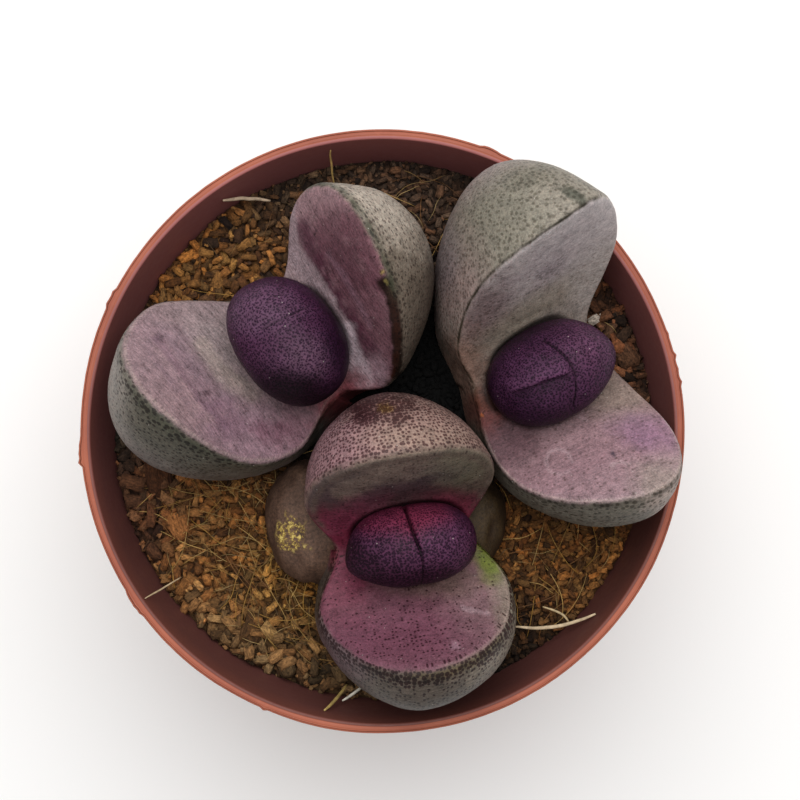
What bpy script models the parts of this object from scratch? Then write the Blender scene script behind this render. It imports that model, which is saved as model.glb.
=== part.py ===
# Potted split rock: three heads of thick paired leaves growing in a thin nursery pot.
# Lengths are written in millimetres and turn into metres where a mesh is made. +Z is up
# and the origin is the middle of the pot's base.

import math
import random

import bpy
import numpy as np
from mathutils import Matrix

MM = 0.001
GAP = 0.3                   # air left between neighbouring solids

# Pot, a 10.5 cm nursery pot
POT_HEIGHT = 85.0
RIM_RADIUS = 52.5
RIM_LIP = 1.75              # width of the rim seen from above
RIM_ROUND = 0.5
RIM_BAND = 10.0             # height of the stiffened band under the rim
WALL = 1.0
TAPER = math.tan(math.radians(9.7))
FLOOR_TOP = 3.0
FLOOR_UNDER = 1.6           # underside of the floor between the foot ring and the middle disc
FOOT_WIDTH = 3.2
DISC_RADIUS = 12.0
DRAIN_HOLES = 8
DRAIN_RADIUS = 3.5
DRAIN_CIRCLE = 23.0
DRAIN_SIDES = 16
FOOT_CORNER = 0.7           # bevels round the foot ring and the disc
FLOOR_CORNER = 1.5          # rounding between the floor and the wall
TURNS = 64                  # flats round the pot and the mix

# Growing mix
MIX_DROP = 12.0             # how far the mix lies below the rim
MIX_RELIEF = 0.7
MIX_RINGS = 6
CHIPS = 80
CHIP_SIZES = (1.3, 2.6)     # half length of the smallest and the largest chip
CHIP_CLEAR = 1.0            # from a chip to the nearest leaf or to the pot
CHIP_APART = 1.3            # distance between two chips over the sum of their half lengths
CHIP_PROUD = 0.1            # height of a chip's middle over the mix, over its half length
SEED = 7

# Leaf surfaces
LEAF_COLUMNS = 19           # along one leaf's edge
BACK_ROWS, EDGE_ROWS, FACE_ROWS = 9, 2, 4
EDGE_ROUND = 1.6            # size of the rounding along a leaf's edge
EDGE_LOW = 0.36             # share of each half edge that runs up from the waist
CLEFT_ROUND = 3.0           # rounding at the bottom of the cleft
NECK = (7.0, 6.0)
NECK_DEPTH = 17.0           # from the cleft's floor down to the neck
ROOT_LENGTH = 12.0
ROOT_RADIUS = 3.5
BUD_TURNS, BUD_RINGS = 20, 10
SQUARED = 0.9               # below 1 an oval is a little squared
BUD_FOOT = (0.45, 1.1)      # a bud's foot stays broad along the cleft and narrows across it
BULGE_LOW, BULGE_HIGH = 72.0, 79.0      # bulges fade in between these heights, above the mix

# Each head: where its cleft's floor is (z from the rim), the plan angle from its second to its
# first leaf, and how far its axis leans towards the second leaf and along the cleft.
# Each leaf: length and half width of its flat face, where the face is widest, how blunt its
# tip is, how far it opens from the head's axis, and how full its back is. Bulges are where the
# head's skin swells or draws in: plan x and y, how far it moves along each, and its spread.
HEADS = {
    "front": {
        "at": (3.5, -19, 0.3), "yaw": 99, "lean": 7.4, "side": 4.3, "waist": 11.6,
        "leaves": (
            {"length": 31.2, "half_width": 16.6, "widest": 0.44, "blunt": 1.9, "open": 36.2,
             "flare": 0, "full_top": 0.49, "full_low": 0.42, "dish": 0.6, "arch": 3.8,
             "skew": 0.2, "slant": 0.005, "shift": 0.6},
            {"length": 29.4, "half_width": 16.9, "widest": 0.4, "blunt": 1.9, "open": 36.9,
             "flare": 15, "full_top": 0.45, "full_low": 0.46, "dish": 2.1, "arch": 1.3,
             "skew": 2, "slant": -0.065, "shift": 0},
        ),
        "bulges": ((-7, -40, 0.7, 0.6, 8), (21, -25, -0.6, -0.3, 6), (6, -46, 0, -0.6, 6),
                   (17, -10, -0.4, 0.2, 4)),
        "bud": {"half": (10.8, 7, 9), "off": (1.3, 0.5, 6.5), "turn": -2.3},
    },
    "left": {
        "at": (-14, 14.4, -0.7), "yaw": 36.6, "lean": 6.6, "side": -0.4, "waist": 10.6,
        "leaves": (
            {"length": 29.7, "half_width": 17, "widest": 0.47, "blunt": 1.9, "open": 44.7,
             "flare": 0, "full_top": 0.44, "full_low": 0.49, "dish": 1.3, "arch": 3,
             "skew": -4.8, "slant": -0.194, "shift": -1.5},
            {"length": 32.7, "half_width": 17.3, "widest": 0.48, "blunt": 1.96, "open": 39.9,
             "flare": 8, "full_top": 0.55, "full_low": 0.53, "dish": 2.1, "arch": 4.3,
             "skew": -3, "slant": -0.13, "shift": -2.4},
        ),
        "bulges": ((-17, 29, 1.6, -0.3, 7), (-13, 42, -0.7, 1.1, 6), (9, 28, 1.0, 0.1, 8),
                   (5, 13, -0.6, 0.3, 6), (-40, 22, -0.4, 0.7, 5)),
        "bud": {"half": (11.4, 8.7, 10.8), "off": (-1.6, 0.3, 9.2), "turn": -2},
    },
    "right": {
        "at": (26.6, 11.8, -2.2), "yaw": 111.1, "lean": 12.9, "side": 8.3, "waist": 11.7,
        "leaves": (
            {"length": 39.8, "half_width": 14.7, "widest": 0.32, "blunt": 2.37, "open": 39.6,
             "flare": 0, "full_top": 0.54, "full_low": 0.45, "dish": 2, "arch": 3.2,
             "skew": 5.7, "slant": 0.093, "shift": 1.3},
            {"length": 35.9, "half_width": 14.3, "widest": 0.5, "blunt": 2.02, "open": 36.8,
             "flare": 1, "full_top": 0.42, "full_low": 0.39, "dish": 1.2, "arch": 2,
             "skew": 5.5, "slant": -0.012, "shift": -1.3},
        ),
        "bulges": ((40, 33, 1.4, 0, 7), (36, 23, -1.6, 0.5, 7), (22, 45, 0, -0.8, 8),
                   (9, 24, 0.4, 0, 9), (49, 1, 0.4, 0.3, 6)),
        "bud": {"half": (10.8, 8.1, 9.9), "off": (0.1, -0.5, 7.9), "turn": 6.4},
    },
}
# The parting of each young pair, as points (along the cleft, across it) on top of the bud
PARTINGS = {
    "front": ((-0.4, 6.2), (-0.3, 4.6), (0.1, 2.4), (0.4, 0.4), (0.6, -1.8), (0.3, -5.2)),
    "left": ((-3.6, -1.2), (-3.4, 0.6), (-3.1, 2.6), (-2.9, 5.0), (-2.6, 6.8)),
    "right": ((0.6, 6.9), (1.4, 5.2), (2.0, 3.0), (2.0, 0.4), (1.1, -2.2), (-0.6, -5.4)),
}
PARTING_WIDTH, PARTING_DEPTH = 0.6, 1.8

# Last year's pair of the front head: two shrunken lobes on a collar round the neck
OLD_LOBES = (
    {"at": (-11.5, -16.2, -10.0), "half": (9.5, 11.0, 9.0), "yaw": 10},
    {"at": (14.3, -16.4, -10.0), "half": (7.5, 9.5, 8.0), "yaw": -8},
)
OLD_COLLAR = {"at": (2.5, -17.5, -20.0), "half": (17.0, 12.0, 5.5), "yaw": 0}
OLD_TURNS, OLD_RINGS = 18, 8

COLOURS = {                 # plain colour, roughness
    "pot": ((0.40, 0.14, 0.09), 0.5),
    "soil": ((0.10, 0.05, 0.025), 0.95),
    "outer_leaves": ((0.27, 0.20, 0.22), 0.55),
    "inner_leaves": ((0.10, 0.035, 0.09), 0.5),
    "old_leaves": ((0.12, 0.075, 0.06), 0.7),
}


def clear_scene():
    for item in list(bpy.data.objects):
        bpy.data.objects.remove(item)


def material(kind):
    name = "plain_" + kind
    found = bpy.data.materials.get(name)
    if found:
        return found
    colour, roughness = COLOURS[kind]
    made = bpy.data.materials.new(name)
    made.use_nodes = True
    shader = made.node_tree.nodes["Principled BSDF"]
    shader.inputs["Base Color"].default_value = (*colour, 1.0)
    shader.inputs["Roughness"].default_value = roughness
    shader.inputs["Metallic"].default_value = 0.0
    return made


def add_mesh(name, points, faces, kind=None):
    mesh = bpy.data.meshes.new(name)
    mesh.from_pydata([tuple(p * MM for p in point) for point in points], [], faces)
    mesh.shade_smooth()
    item = bpy.data.objects.new(name, mesh)
    bpy.context.collection.objects.link(item)
    if kind:
        mesh.materials.append(material(kind))
    return item


def closed_grid(name, rows, low, high, kind=None):
    """A closed skin of triangles over rows of points that run round anticlockwise, from the
    point low up to the point high."""
    count, around = len(rows), len(rows[0])
    points = [tuple(p) for row in rows for p in row] + [tuple(low), tuple(high)]
    first, last = count * around, count * around + 1
    faces = []
    for j in range(around):
        k = (j + 1) % around
        faces.append((first, k, j))
        faces.append((last, (count - 1) * around + j, (count - 1) * around + k))
        for i in range(0, (count - 1) * around, around):
            faces.append((i + j, i + k, i + around + k))
            faces.append((i + j, i + around + k, i + around + j))
    return add_mesh(name, points, faces, kind)


def apply_modifiers(item):
    graph = bpy.context.evaluated_depsgraph_get()
    done = bpy.data.meshes.new_from_object(item.evaluated_get(graph))
    item.modifiers.clear()
    item.data = done


def combine(item, other, operation):
    """Cuts the other object out of the item, or joins it on, and removes it."""
    change = item.modifiers.new("Combine", "BOOLEAN")
    change.operation = operation
    change.object = other
    apply_modifiers(item)
    bpy.data.objects.remove(other)


def swell(item, by=GAP):
    """Pushes a solid's skin out, so that what it cuts stays clear of the original."""
    push = item.modifiers.new("Swell", "DISPLACE")
    push.mid_level = 0.0
    push.strength = by * MM
    apply_modifiers(item)
    return item


# Pot


def inner_radius(z):
    """Inside of the tapering wall at a height."""
    return RIM_RADIUS - RIM_LIP - (POT_HEIGHT - z) * TAPER


def wall_radius(z):
    return inner_radius(z) + WALL


def ring(radius, z, turns=TURNS):
    angles = [2 * math.pi * k / turns for k in range(turns)]
    return [(radius * math.cos(a), radius * math.sin(a), z) for a in angles]


def make_pot():
    band_low = POT_HEIGHT - RIM_BAND
    foot = wall_radius(0.0)
    profile = (
        (DISC_RADIUS, 0.0), (DISC_RADIUS + FOOT_CORNER, FLOOR_UNDER),
        (foot - FOOT_WIDTH - FOOT_CORNER, FLOOR_UNDER), (foot - FOOT_WIDTH, 0.0),
        (foot - FOOT_CORNER, 0.0), (wall_radius(FOOT_CORNER), FOOT_CORNER),
        (wall_radius(band_low), band_low),
        (RIM_RADIUS - RIM_ROUND / 2, band_low + RIM_ROUND),
        (RIM_RADIUS, POT_HEIGHT - RIM_ROUND), (RIM_RADIUS - RIM_ROUND, POT_HEIGHT),
        (RIM_RADIUS - RIM_LIP + RIM_ROUND, POT_HEIGHT),
        (inner_radius(POT_HEIGHT - RIM_ROUND), POT_HEIGHT - RIM_ROUND),
        (inner_radius(FLOOR_TOP + FLOOR_CORNER), FLOOR_TOP + FLOOR_CORNER),
        (inner_radius(FLOOR_TOP) - FLOOR_CORNER, FLOOR_TOP),
    )
    rows = [ring(radius, z) for radius, z in profile]
    pot = closed_grid("pot", rows, (0, 0, 0), (0, 0, FLOOR_TOP), "pot")
    for k in range(DRAIN_HOLES):
        angle = 2 * math.pi * (k + 0.5) / DRAIN_HOLES
        x, y = DRAIN_CIRCLE * math.cos(angle), DRAIN_CIRCLE * math.sin(angle)
        low, high = FLOOR_UNDER - FLOOR_TOP, FLOOR_TOP + FLOOR_UNDER
        rows = [[(x + p[0], y + p[1], z) for p in ring(DRAIN_RADIUS, z, DRAIN_SIDES)]
                for z in (low, high)]
        hole = closed_grid("drain_hole", rows, (x, y, low), (x, y, high))
        combine(pot, hole, "DIFFERENCE")
    return pot


# Leaves


def unit(vectors):
    return vectors / np.linalg.norm(vectors, axis=-1, keepdims=True)


def rotation(degrees, axis):
    return np.array(Matrix.Rotation(math.radians(degrees), 3, axis))


def from_rim(place):
    """A place whose height is given from the rim's plane."""
    return np.array([place[0], place[1], POT_HEIGHT + place[2]])


def placed(head, points):
    """From a head's own frame, with x along its cleft, y towards its first leaf and z up its
    axis, to the pot's."""
    axes = (rotation(head["yaw"] - 90, "Z") @ rotation(head["lean"], "X")
            @ rotation(head["side"], "Y"))
    return points @ axes.T + from_rim(head["at"])


def bulged(head, points):
    """Moves points by the head's bulges, each bell shaped in plan."""
    rise = np.clip((points[..., 2] - BULGE_LOW) / (BULGE_HIGH - BULGE_LOW), 0, 1)
    rise = rise * rise * (3 - 2 * rise)
    moved = points.copy()
    for x, y, push_x, push_y, spread in head["bulges"]:
        away = (points[..., 0] - x) ** 2 + (points[..., 1] - y) ** 2
        share = rise * np.exp(-away / spread ** 2)
        moved[..., 0] += share * push_x
        moved[..., 1] += share * push_y
    return moved


def leaf_edge(leaf, waist, phi):
    """The edge of a leaf's face in its own plane, as offsets x along the cleft and distances r
    up the face. phi runs from 0 at one end of the waist over the tip to pi at the other. The
    low part swells from the waist to the widest place, the high part is a blunt half oval."""
    length, width = leaf["length"], leaf["half_width"]
    climb = np.minimum(phi, np.pi - phi) / (np.pi / 2)
    low = np.clip(climb / EDGE_LOW, 0, 1)
    sweep = np.clip((climb - EDGE_LOW) / (1 - EDGE_LOW), 0, 1) * np.pi / 2
    power = 2 / leaf["blunt"]
    reach = leaf["widest"] * length
    high_r = reach + (length - reach) * np.sin(sweep) ** power
    high_x = width * np.abs(np.cos(sweep)) ** power
    low_x = waist + (width - waist) * np.sin(low * np.pi / 2) ** 1.5
    is_low = climb < EDGE_LOW
    r = np.where(is_low, reach * low, high_r)
    x = np.where(is_low, low_x, high_x) * np.where(phi < np.pi / 2, 1, -1)
    up = r / length
    x = x + leaf["skew"] * up ** 2 + leaf["shift"] * np.sin(np.pi * up)
    return x, r * (1 + leaf["slant"] * x / width)


def face_point(leaf, way, x, r):
    """A point of the leaf's face: a plane that opens from the head's axis, a little dished up
    its length and arched across its width. way is 1 for the first leaf and -1 for the second."""
    opening = math.radians(leaf["open"])
    up = r / leaf["length"]
    bow = leaf["dish"] * np.sin(np.pi * up) + leaf["arch"] * (x / leaf["half_width"]) ** 2 * up
    rise = np.sqrt(r * r + CLEFT_ROUND ** 2) - CLEFT_ROUND
    y = way * (r * math.sin(opening) + bow * math.cos(opening))
    return np.stack([x, y, rise * math.cos(opening) - bow * math.sin(opening)], -1)


def edge_frame(leaf, way, waist, phi):
    """Points along the edge, with the directions off the face's back and out of its edge."""
    step, small = 1e-3, 0.05
    x, r = leaf_edge(leaf, waist, phi)
    before = face_point(leaf, way, *leaf_edge(leaf, waist, phi - step))
    after = face_point(leaf, way, *leaf_edge(leaf, waist, phi + step))
    across = face_point(leaf, way, x + small, r) - face_point(leaf, way, x - small, r)
    upward = face_point(leaf, way, x, r + small) - face_point(leaf, way, x, np.maximum(r - small, 0))
    normal = unit(np.cross(across, upward) * way)
    outward = np.cross(unit(after - before), normal) * way
    return x, r, face_point(leaf, way, x, r), -normal, outward


def leaf_rows(head, leaf, way, phi):
    """Rows of points for one leaf, from the neck up its full back, round its edge and down its
    face. The back is a cubic curve, and the edge a quadratic one about the sharp corner."""
    x, r, edge, behind, outward = edge_frame(leaf, way, head["waist"], phi)
    theta = (phi * way)[:, None]
    neck = np.hstack([NECK[0] * np.cos(theta), NECK[1] * np.sin(theta), 0 * theta - NECK_DEPTH])
    spread = np.hstack([np.cos(theta), np.sin(theta), 0 * theta - 0.12])
    flare = math.radians(leaf["flare"])
    reach = np.linalg.norm(edge - neck, axis=1)[:, None]
    high = edge + (behind * math.cos(flare) + outward * math.sin(flare)) * reach * leaf["full_top"]
    low = neck + spread * reach * leaf["full_low"]

    def back(t):
        return ((1 - t) ** 3 * neck + 3 * t * (1 - t) ** 2 * low + 3 * t * t * (1 - t) * high
                + t ** 3 * edge)

    end = 1 - EDGE_ROUND / (3 * leaf["full_top"] * reach)
    shrink = 1 - EDGE_ROUND / np.hypot(x, r)[:, None]
    rows = [back(end * k / BACK_ROWS) for k in range(BACK_ROWS + 1)]
    start, stop = rows[-1], face_point(leaf, way, x * shrink[:, 0], r * shrink[:, 0])
    for k in range(1, EDGE_ROWS + 1):
        t = k / EDGE_ROWS
        rows.append((1 - t) ** 2 * start + 2 * t * (1 - t) * edge + t * t * stop)
    for k in range(1, FACE_ROWS):
        scale = shrink[:, 0] * (1 - k / FACE_ROWS)
        rows.append(face_point(leaf, way, x * scale, r * scale))
    return np.array(rows)


def make_outer_pair(name, head):
    """Two leaves grown together: rows run from the root's tip to the middle of the cleft."""
    phi = np.linspace(0, np.pi, LEAF_COLUMNS)
    first = leaf_rows(head, head["leaves"][0], 1, phi)
    second = leaf_rows(head, head["leaves"][1], -1, phi[1:-1])[:, ::-1]
    rows = np.concatenate([first, second], axis=1)
    shape = rows[0] / np.array([NECK[0], NECK[1], -NECK_DEPTH])
    root = []
    for radius, drop in ((ROOT_RADIUS * 0.6, ROOT_LENGTH), (ROOT_RADIUS, ROOT_LENGTH * 0.7)):
        root.append(shape * np.array([radius, radius, 0]) - np.array([0, 0, NECK_DEPTH + drop]))
    rows = np.concatenate([root, rows])
    ends = placed(head, np.array([[0, 0, -NECK_DEPTH - ROOT_LENGTH - 1], [0, 0, 0]]))
    return closed_grid(name, bulged(head, placed(head, rows)), ends[0], ends[1], "outer_leaves")


def oval_rows(half, turns, rings, foot=(SQUARED, SQUARED)):
    """Rows round a slightly squared egg, and its two ends. foot gives how fast its lower half
    narrows along x and along y."""
    u = np.linspace(0, 2 * np.pi, turns, endpoint=False)
    v = np.linspace(-np.pi / 2, np.pi / 2, rings + 1)[1:-1]
    v, u = np.meshgrid(v, u, indexing="ij")

    def squared(value):
        return np.sign(value) * np.abs(value) ** SQUARED

    narrow_x = np.cos(v) ** np.where(v < 0, foot[0], SQUARED)
    narrow_y = np.cos(v) ** np.where(v < 0, foot[1], SQUARED)
    rows = np.stack([half[0] * narrow_x * squared(np.cos(u)), half[1] * narrow_y * squared(np.sin(u)),
                     half[2] * squared(np.sin(v))], -1)
    return rows, np.array([[0, 0, -half[2]], [0, 0, half[2]]])


def bud_points(head, points):
    """Places points of a young pair in its head, turned about the head's axis."""
    bud = head["bud"]
    return placed(head, points @ rotation(bud["turn"], "Z").T + np.array(bud["off"]))


def make_bud(name, head, kind=None):
    rows, ends = oval_rows(head["bud"]["half"], BUD_TURNS, BUD_RINGS, BUD_FOOT)
    low, high = bud_points(head, ends)
    return closed_grid(name, bud_points(head, rows), low, high, kind)


def bud_height(head, x, y):
    """Height of the young pair's skin over its middle."""
    a, b, c = head["bud"]["half"]
    power = 2 / SQUARED
    share = 1 - (abs(x) / a) ** power - (abs(y) / b) ** power
    return c * max(share, 0) ** (1 / power)


def make_parting(head, path):
    """A wedge along the line between the two young leaves, deepest where the path runs."""
    path = np.array(path)
    along = np.gradient(path, axis=0)
    across = unit(np.stack([-along[:, 1], along[:, 0]], 1)) * PARTING_WIDTH / 2
    rows = []
    for (x, y), (dx, dy) in zip(path, across):
        top = bud_height(head, x, y)
        rows.append([(x + 2 * dx, y + 2 * dy, top + PARTING_DEPTH), (x, y, top - PARTING_DEPTH),
                     (x - 2 * dx, y - 2 * dy, top + PARTING_DEPTH)])
    rows = bud_points(head, np.array(rows))
    return closed_grid("parting", rows, rows[0].mean(0), rows[-1].mean(0))


def make_head(key):
    head = HEADS[key]
    outer = make_outer_pair(key + "_outer_leaves", head)
    inner = make_bud(key + "_inner_leaves", head, "inner_leaves")
    combine(outer, swell(make_bud("pocket", head)), "DIFFERENCE")
    combine(inner, make_parting(head, PARTINGS[key]), "DIFFERENCE")
    return outer, inner


# Last year's leaves


def make_oval(name, shape, kind=None):
    rows, ends = oval_rows(shape["half"], OLD_TURNS, OLD_RINGS)
    about = rotation(shape["yaw"], "Z").T
    ends = ends @ about + from_rim(shape["at"])
    return closed_grid(name, rows @ about + from_rim(shape["at"]), ends[0], ends[1], kind)


def make_old_leaves():
    old = make_oval("front_old_leaves", OLD_LOBES[0], "old_leaves")
    for shape in (OLD_LOBES[1], OLD_COLLAR):
        combine(old, make_oval("lobe", shape), "UNION")
    combine(old, swell(make_outer_pair("carrier", HEADS["front"])), "DIFFERENCE")
    return old


# Growing mix


def mix_height(x, y):
    """Gentle relief of the mix's surface, from three crossed waves."""
    waves = (math.sin(x / 6.1 + 0.7) * math.cos(y / 7.3) + 0.6 * math.sin(x / 3.3 - y / 4.1)
             + 0.4 * math.sin(y / 2.9 + x / 5.3))
    return POT_HEIGHT - MIX_DROP + MIX_RELIEF * waves


def make_bed():
    """The mix as one body that fills the pot, up to its relief."""
    low = FLOOR_TOP + GAP
    top_z = POT_HEIGHT - MIX_DROP
    corner = low + FLOOR_CORNER
    rows = [ring(inner_radius(FLOOR_TOP) - FLOOR_CORNER - GAP, low),
            ring(inner_radius(corner) - GAP, corner)]
    edge = inner_radius(top_z) - GAP
    for k in range(MIX_RINGS):
        radius = edge * (1 - k / MIX_RINGS)
        rows.append([(x, y, mix_height(x, y)) for x, y, _ in ring(radius, top_z)])
    return closed_grid("soil", rows, (0, 0, low), (0, 0, mix_height(0, 0)), "soil")


def chip_corners(rng, half):
    """The eight corners of a broken, tilted chip, each a little off its place."""
    sizes = (half, half * rng.uniform(0.55, 0.9), half * rng.uniform(0.4, 0.7))
    yaw, tilt_x, tilt_y = rng.uniform(0, 2 * math.pi), rng.uniform(-0.5, 0.5), rng.uniform(-0.5, 0.5)
    corners = []
    for k in range(8):
        signs = (1 if k & 1 else -1, 1 if k & 2 else -1, 1 if k & 4 else -1)
        x, y, z = (s * size * rng.uniform(0.75, 1.1) for s, size in zip(signs, sizes))
        corners.append((x * math.cos(yaw) - y * math.sin(yaw), x * math.sin(yaw) + y * math.cos(yaw),
                        z + x * tilt_x + y * tilt_y))
    return corners


def chip_faces():
    quads = ((0, 2, 3, 1), (4, 5, 7, 6), (0, 1, 5, 4), (2, 6, 7, 3), (0, 4, 6, 2), (1, 3, 7, 5))
    return [t for a, b, c, d in quads for t in ((a, b, c), (a, c, d))]


def scatter_chips(bed, leaves):
    """Chips of coir and bark that stand out of the mix, clear of the leaves and the pot."""
    rng = random.Random(SEED)
    skin = np.array([v.co for leaf in leaves for v in leaf.data.vertices]) / MM
    chips = bpy.data.collections.new("chips")
    placed_at = []
    edge = inner_radius(POT_HEIGHT - MIX_DROP) - GAP
    while len(placed_at) < CHIPS:
        half = rng.uniform(*CHIP_SIZES)
        radius = edge * math.sqrt(rng.random())
        angle = rng.uniform(0, 2 * math.pi)
        x, y = radius * math.cos(angle), radius * math.sin(angle)
        reach = half * 1.5 + CHIP_CLEAR
        if radius + reach > edge:
            continue
        hit, place, _, _ = bed.ray_cast((x * MM, y * MM, POT_HEIGHT * MM), (0, 0, -1))
        z = place.z / MM + half * CHIP_PROUD
        if not hit or z < mix_height(x, y) - half:
            continue
        if np.linalg.norm(skin - np.array([x, y, z]), axis=1).min() < reach + CHIP_CLEAR:
            continue
        if any(math.hypot(x - a, y - b) < CHIP_APART * (half + c) for a, b, c in placed_at):
            continue
        placed_at.append((x, y, half))
        corners = [(x + a, y + b, z + c) for a, b, c in chip_corners(rng, half)]
        chip = add_mesh("chip", corners, chip_faces())
        bpy.context.collection.objects.unlink(chip)
        chips.objects.link(chip)
    join = bed.modifiers.new("Chips", "BOOLEAN")
    join.operation = "UNION"
    join.solver = "MANIFOLD"
    join.operand_type = "COLLECTION"
    join.collection = chips
    bpy.context.scene.collection.children.link(chips)
    apply_modifiers(bed)
    for chip in list(chips.objects):
        bpy.data.objects.remove(chip)
    bpy.data.collections.remove(chips)


def make_soil(leaves):
    bed = make_bed()
    for key, head in HEADS.items():
        combine(bed, swell(make_outer_pair("hole_" + key, head)), "DIFFERENCE")
    for shape in (*OLD_LOBES, OLD_COLLAR):
        combine(bed, swell(make_oval("old_hole", shape)), "DIFFERENCE")
    scatter_chips(bed, leaves)
    return bed


def main():
    clear_scene()
    make_pot()
    leaves = [make_old_leaves()]
    for key in HEADS:
        leaves.extend(make_head(key))
    make_soil(leaves)


main()
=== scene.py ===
import bpy
import numpy as np
from mathutils.bvhtree import BVHTree
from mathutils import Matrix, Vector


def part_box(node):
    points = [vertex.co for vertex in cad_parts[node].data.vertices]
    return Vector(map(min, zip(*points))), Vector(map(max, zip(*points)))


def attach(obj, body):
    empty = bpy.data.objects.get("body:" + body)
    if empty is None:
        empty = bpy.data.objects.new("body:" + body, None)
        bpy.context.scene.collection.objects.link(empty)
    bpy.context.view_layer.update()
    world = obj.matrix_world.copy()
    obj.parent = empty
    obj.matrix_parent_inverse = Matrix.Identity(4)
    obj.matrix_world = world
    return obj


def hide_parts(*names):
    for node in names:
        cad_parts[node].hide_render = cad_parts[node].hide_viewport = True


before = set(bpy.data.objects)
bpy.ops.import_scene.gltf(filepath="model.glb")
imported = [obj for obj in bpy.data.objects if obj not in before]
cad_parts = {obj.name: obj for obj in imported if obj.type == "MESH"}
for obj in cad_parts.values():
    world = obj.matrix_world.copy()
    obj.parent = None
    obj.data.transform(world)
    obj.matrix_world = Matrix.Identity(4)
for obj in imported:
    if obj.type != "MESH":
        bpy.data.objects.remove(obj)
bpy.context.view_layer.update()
print("frame loaded:", len(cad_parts), "nodes")

# Sizes are in millimetres, with z up from the surface that the pot stands on
mm = 0.001
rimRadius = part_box("pot")[1].x / mm
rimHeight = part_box("pot")[1].z / mm


# Small tools


# sRGB hex to linear light: a straight line near black, a 2.4 power above it
def linear(code):
    s = np.array([int(code[k:k + 2], 16) for k in (0, 2, 4)]) / 255
    return np.where(s <= 0.04045, s / 12.92, ((s + 0.055) / 1.055) ** 2.4)


# 0 at low, 1 at high, 3t^2 - 2t^3 between
def ease(value, low, high):
    t = np.clip((value - low) / (high - low), 0, 1)
    return t * t * (3 - 2 * t)


def unit(vectors):
    return vectors / np.maximum(np.linalg.norm(vectors, axis=-1, keepdims=True), 1e-9)


# Turning by an angle about one axis, as a 3 x 3 matrix
def turning(degrees, axis):
    c, s = np.cos(np.radians(degrees)), np.sin(np.radians(degrees))
    i, j = [(1, 2), (2, 0), (0, 1)][axis]
    turned = np.eye(3)
    turned[i, i] = turned[j, j] = c
    turned[i, j], turned[j, i] = -s, s
    return turned


# Value noise from -1 to 1: a random value at each corner of cells of one size, eased between them
randomValues = np.random.default_rng(5).random(4096)


def lumps(points, size, seed=0):
    scaled = points / size + 31.7 * seed
    cell = np.floor(scaled).astype(np.int64)
    t = scaled - cell
    t = t * t * (3 - 2 * t)
    total = np.zeros(points.shape[:-1])
    for corner in np.ndindex(2, 2, 2):
        key = (cell + np.array(corner)) @ np.array([7919, 104729, 1299709])
        share = np.where(np.array(corner) == 1, t, 1 - t).prod(-1)
        total += randomValues[(key * 40503 >> 4) % 4096] * share
    return 2 * total - 1


# Quads of a grid whose columns run round: each joins neighbours j and j + 1 of rows i and i + 1
def ringFaces(rowCount, columnCount):
    i, j = np.meshgrid(np.arange(rowCount - 1), np.arange(columnCount), indexing="ij")
    k = (j + 1) % columnCount
    corners = [i * columnCount + j, i * columnCount + k, (i + 1) * columnCount + k,
               (i + 1) * columnCount + j]
    return np.stack(corners, -1).reshape(-1, 4)


# A smooth mesh with values at its points: one number, a vector of three or a colour of four each
def makeMesh(name, points, faces, attributes=None):
    mesh = bpy.data.meshes.new(name)
    mesh.from_pydata((points * mm).tolist(), [], faces)
    mesh.polygons.foreach_set("use_smooth", np.ones(len(faces), bool))
    kinds = {1: ("FLOAT", "value"), 3: ("FLOAT_VECTOR", "vector"), 4: ("FLOAT_COLOR", "color")}
    for label, values in (attributes or {}).items():
        values = np.asarray(values, float).reshape(len(points), -1)
        kind, field = kinds[values.shape[1]]
        mesh.attributes.new(label, kind, "POINT").data.foreach_set(field, values.ravel())
    mesh.update()
    piece = bpy.data.objects.new(name, mesh)
    bpy.context.scene.collection.objects.link(piece)
    return piece


# Faces of a closed shell: its rows run round, with a fan of triangles to a point at each end
def shellFaces(rowCount, columnCount, base=0):
    column = np.arange(columnCount)
    following, last = (column + 1) % columnCount, (rowCount - 1) * columnCount
    foot = np.full(columnCount, rowCount * columnCount)
    low, high = (foot, following, column), (last + column, last + following, foot + 1)
    parts = ringFaces(rowCount, columnCount), np.stack(low, 1), np.stack(high, 1)
    return [face for part in parts for face in (part + base).tolist()]


def shell(name, rows, low, high, attributes):
    points = np.concatenate([rows.reshape(-1, 3), [low, high]])
    return makeMesh(name, points, shellFaces(*rows.shape[:2]), attributes)


# Values of a shell's points, where the two ends take those of the nearest row
def withEnds(values):
    return np.concatenate([values.reshape(-1, 3), values[0, :1], values[-1, :1]])


def opaque(colours):
    return np.column_stack([colours, np.ones(len(colours))])


# Gives a piece its material and its body, and hides the node that it stands for
def dress(piece, finish, node):
    piece.data.materials.clear()
    piece.data.materials.append(finish)
    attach(piece, "root")
    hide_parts(node)
    return piece


def newMaterial(name):
    made = bpy.data.materials.new(name)
    made.use_nodes = True
    made.node_tree.nodes.clear()
    return made


# Adds a node with its settings to a material. An input is a value, an sRGB code or the output that
# feeds it
def addNode(made, kind, inputs=None, **settings):
    tree = made.node_tree
    node = tree.nodes.new("ShaderNode" + kind)
    for key, value in settings.items():
        setattr(node, key, value)
    for key, value in (inputs or {}).items():
        if isinstance(value, bpy.types.NodeSocket):
            tree.links.new(value, node.inputs[key])
        else:
            node.inputs[key].default_value = (*linear(value), 1) if isinstance(value, str) else value
    return node


# The nodes that come back often, each as its main output


def objectPlace(made):
    return addNode(made, "TexCoord").outputs["Object"]


def painted(made, label, kind):
    return addNode(made, "Attribute", attribute_name=label).outputs[kind]


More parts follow.
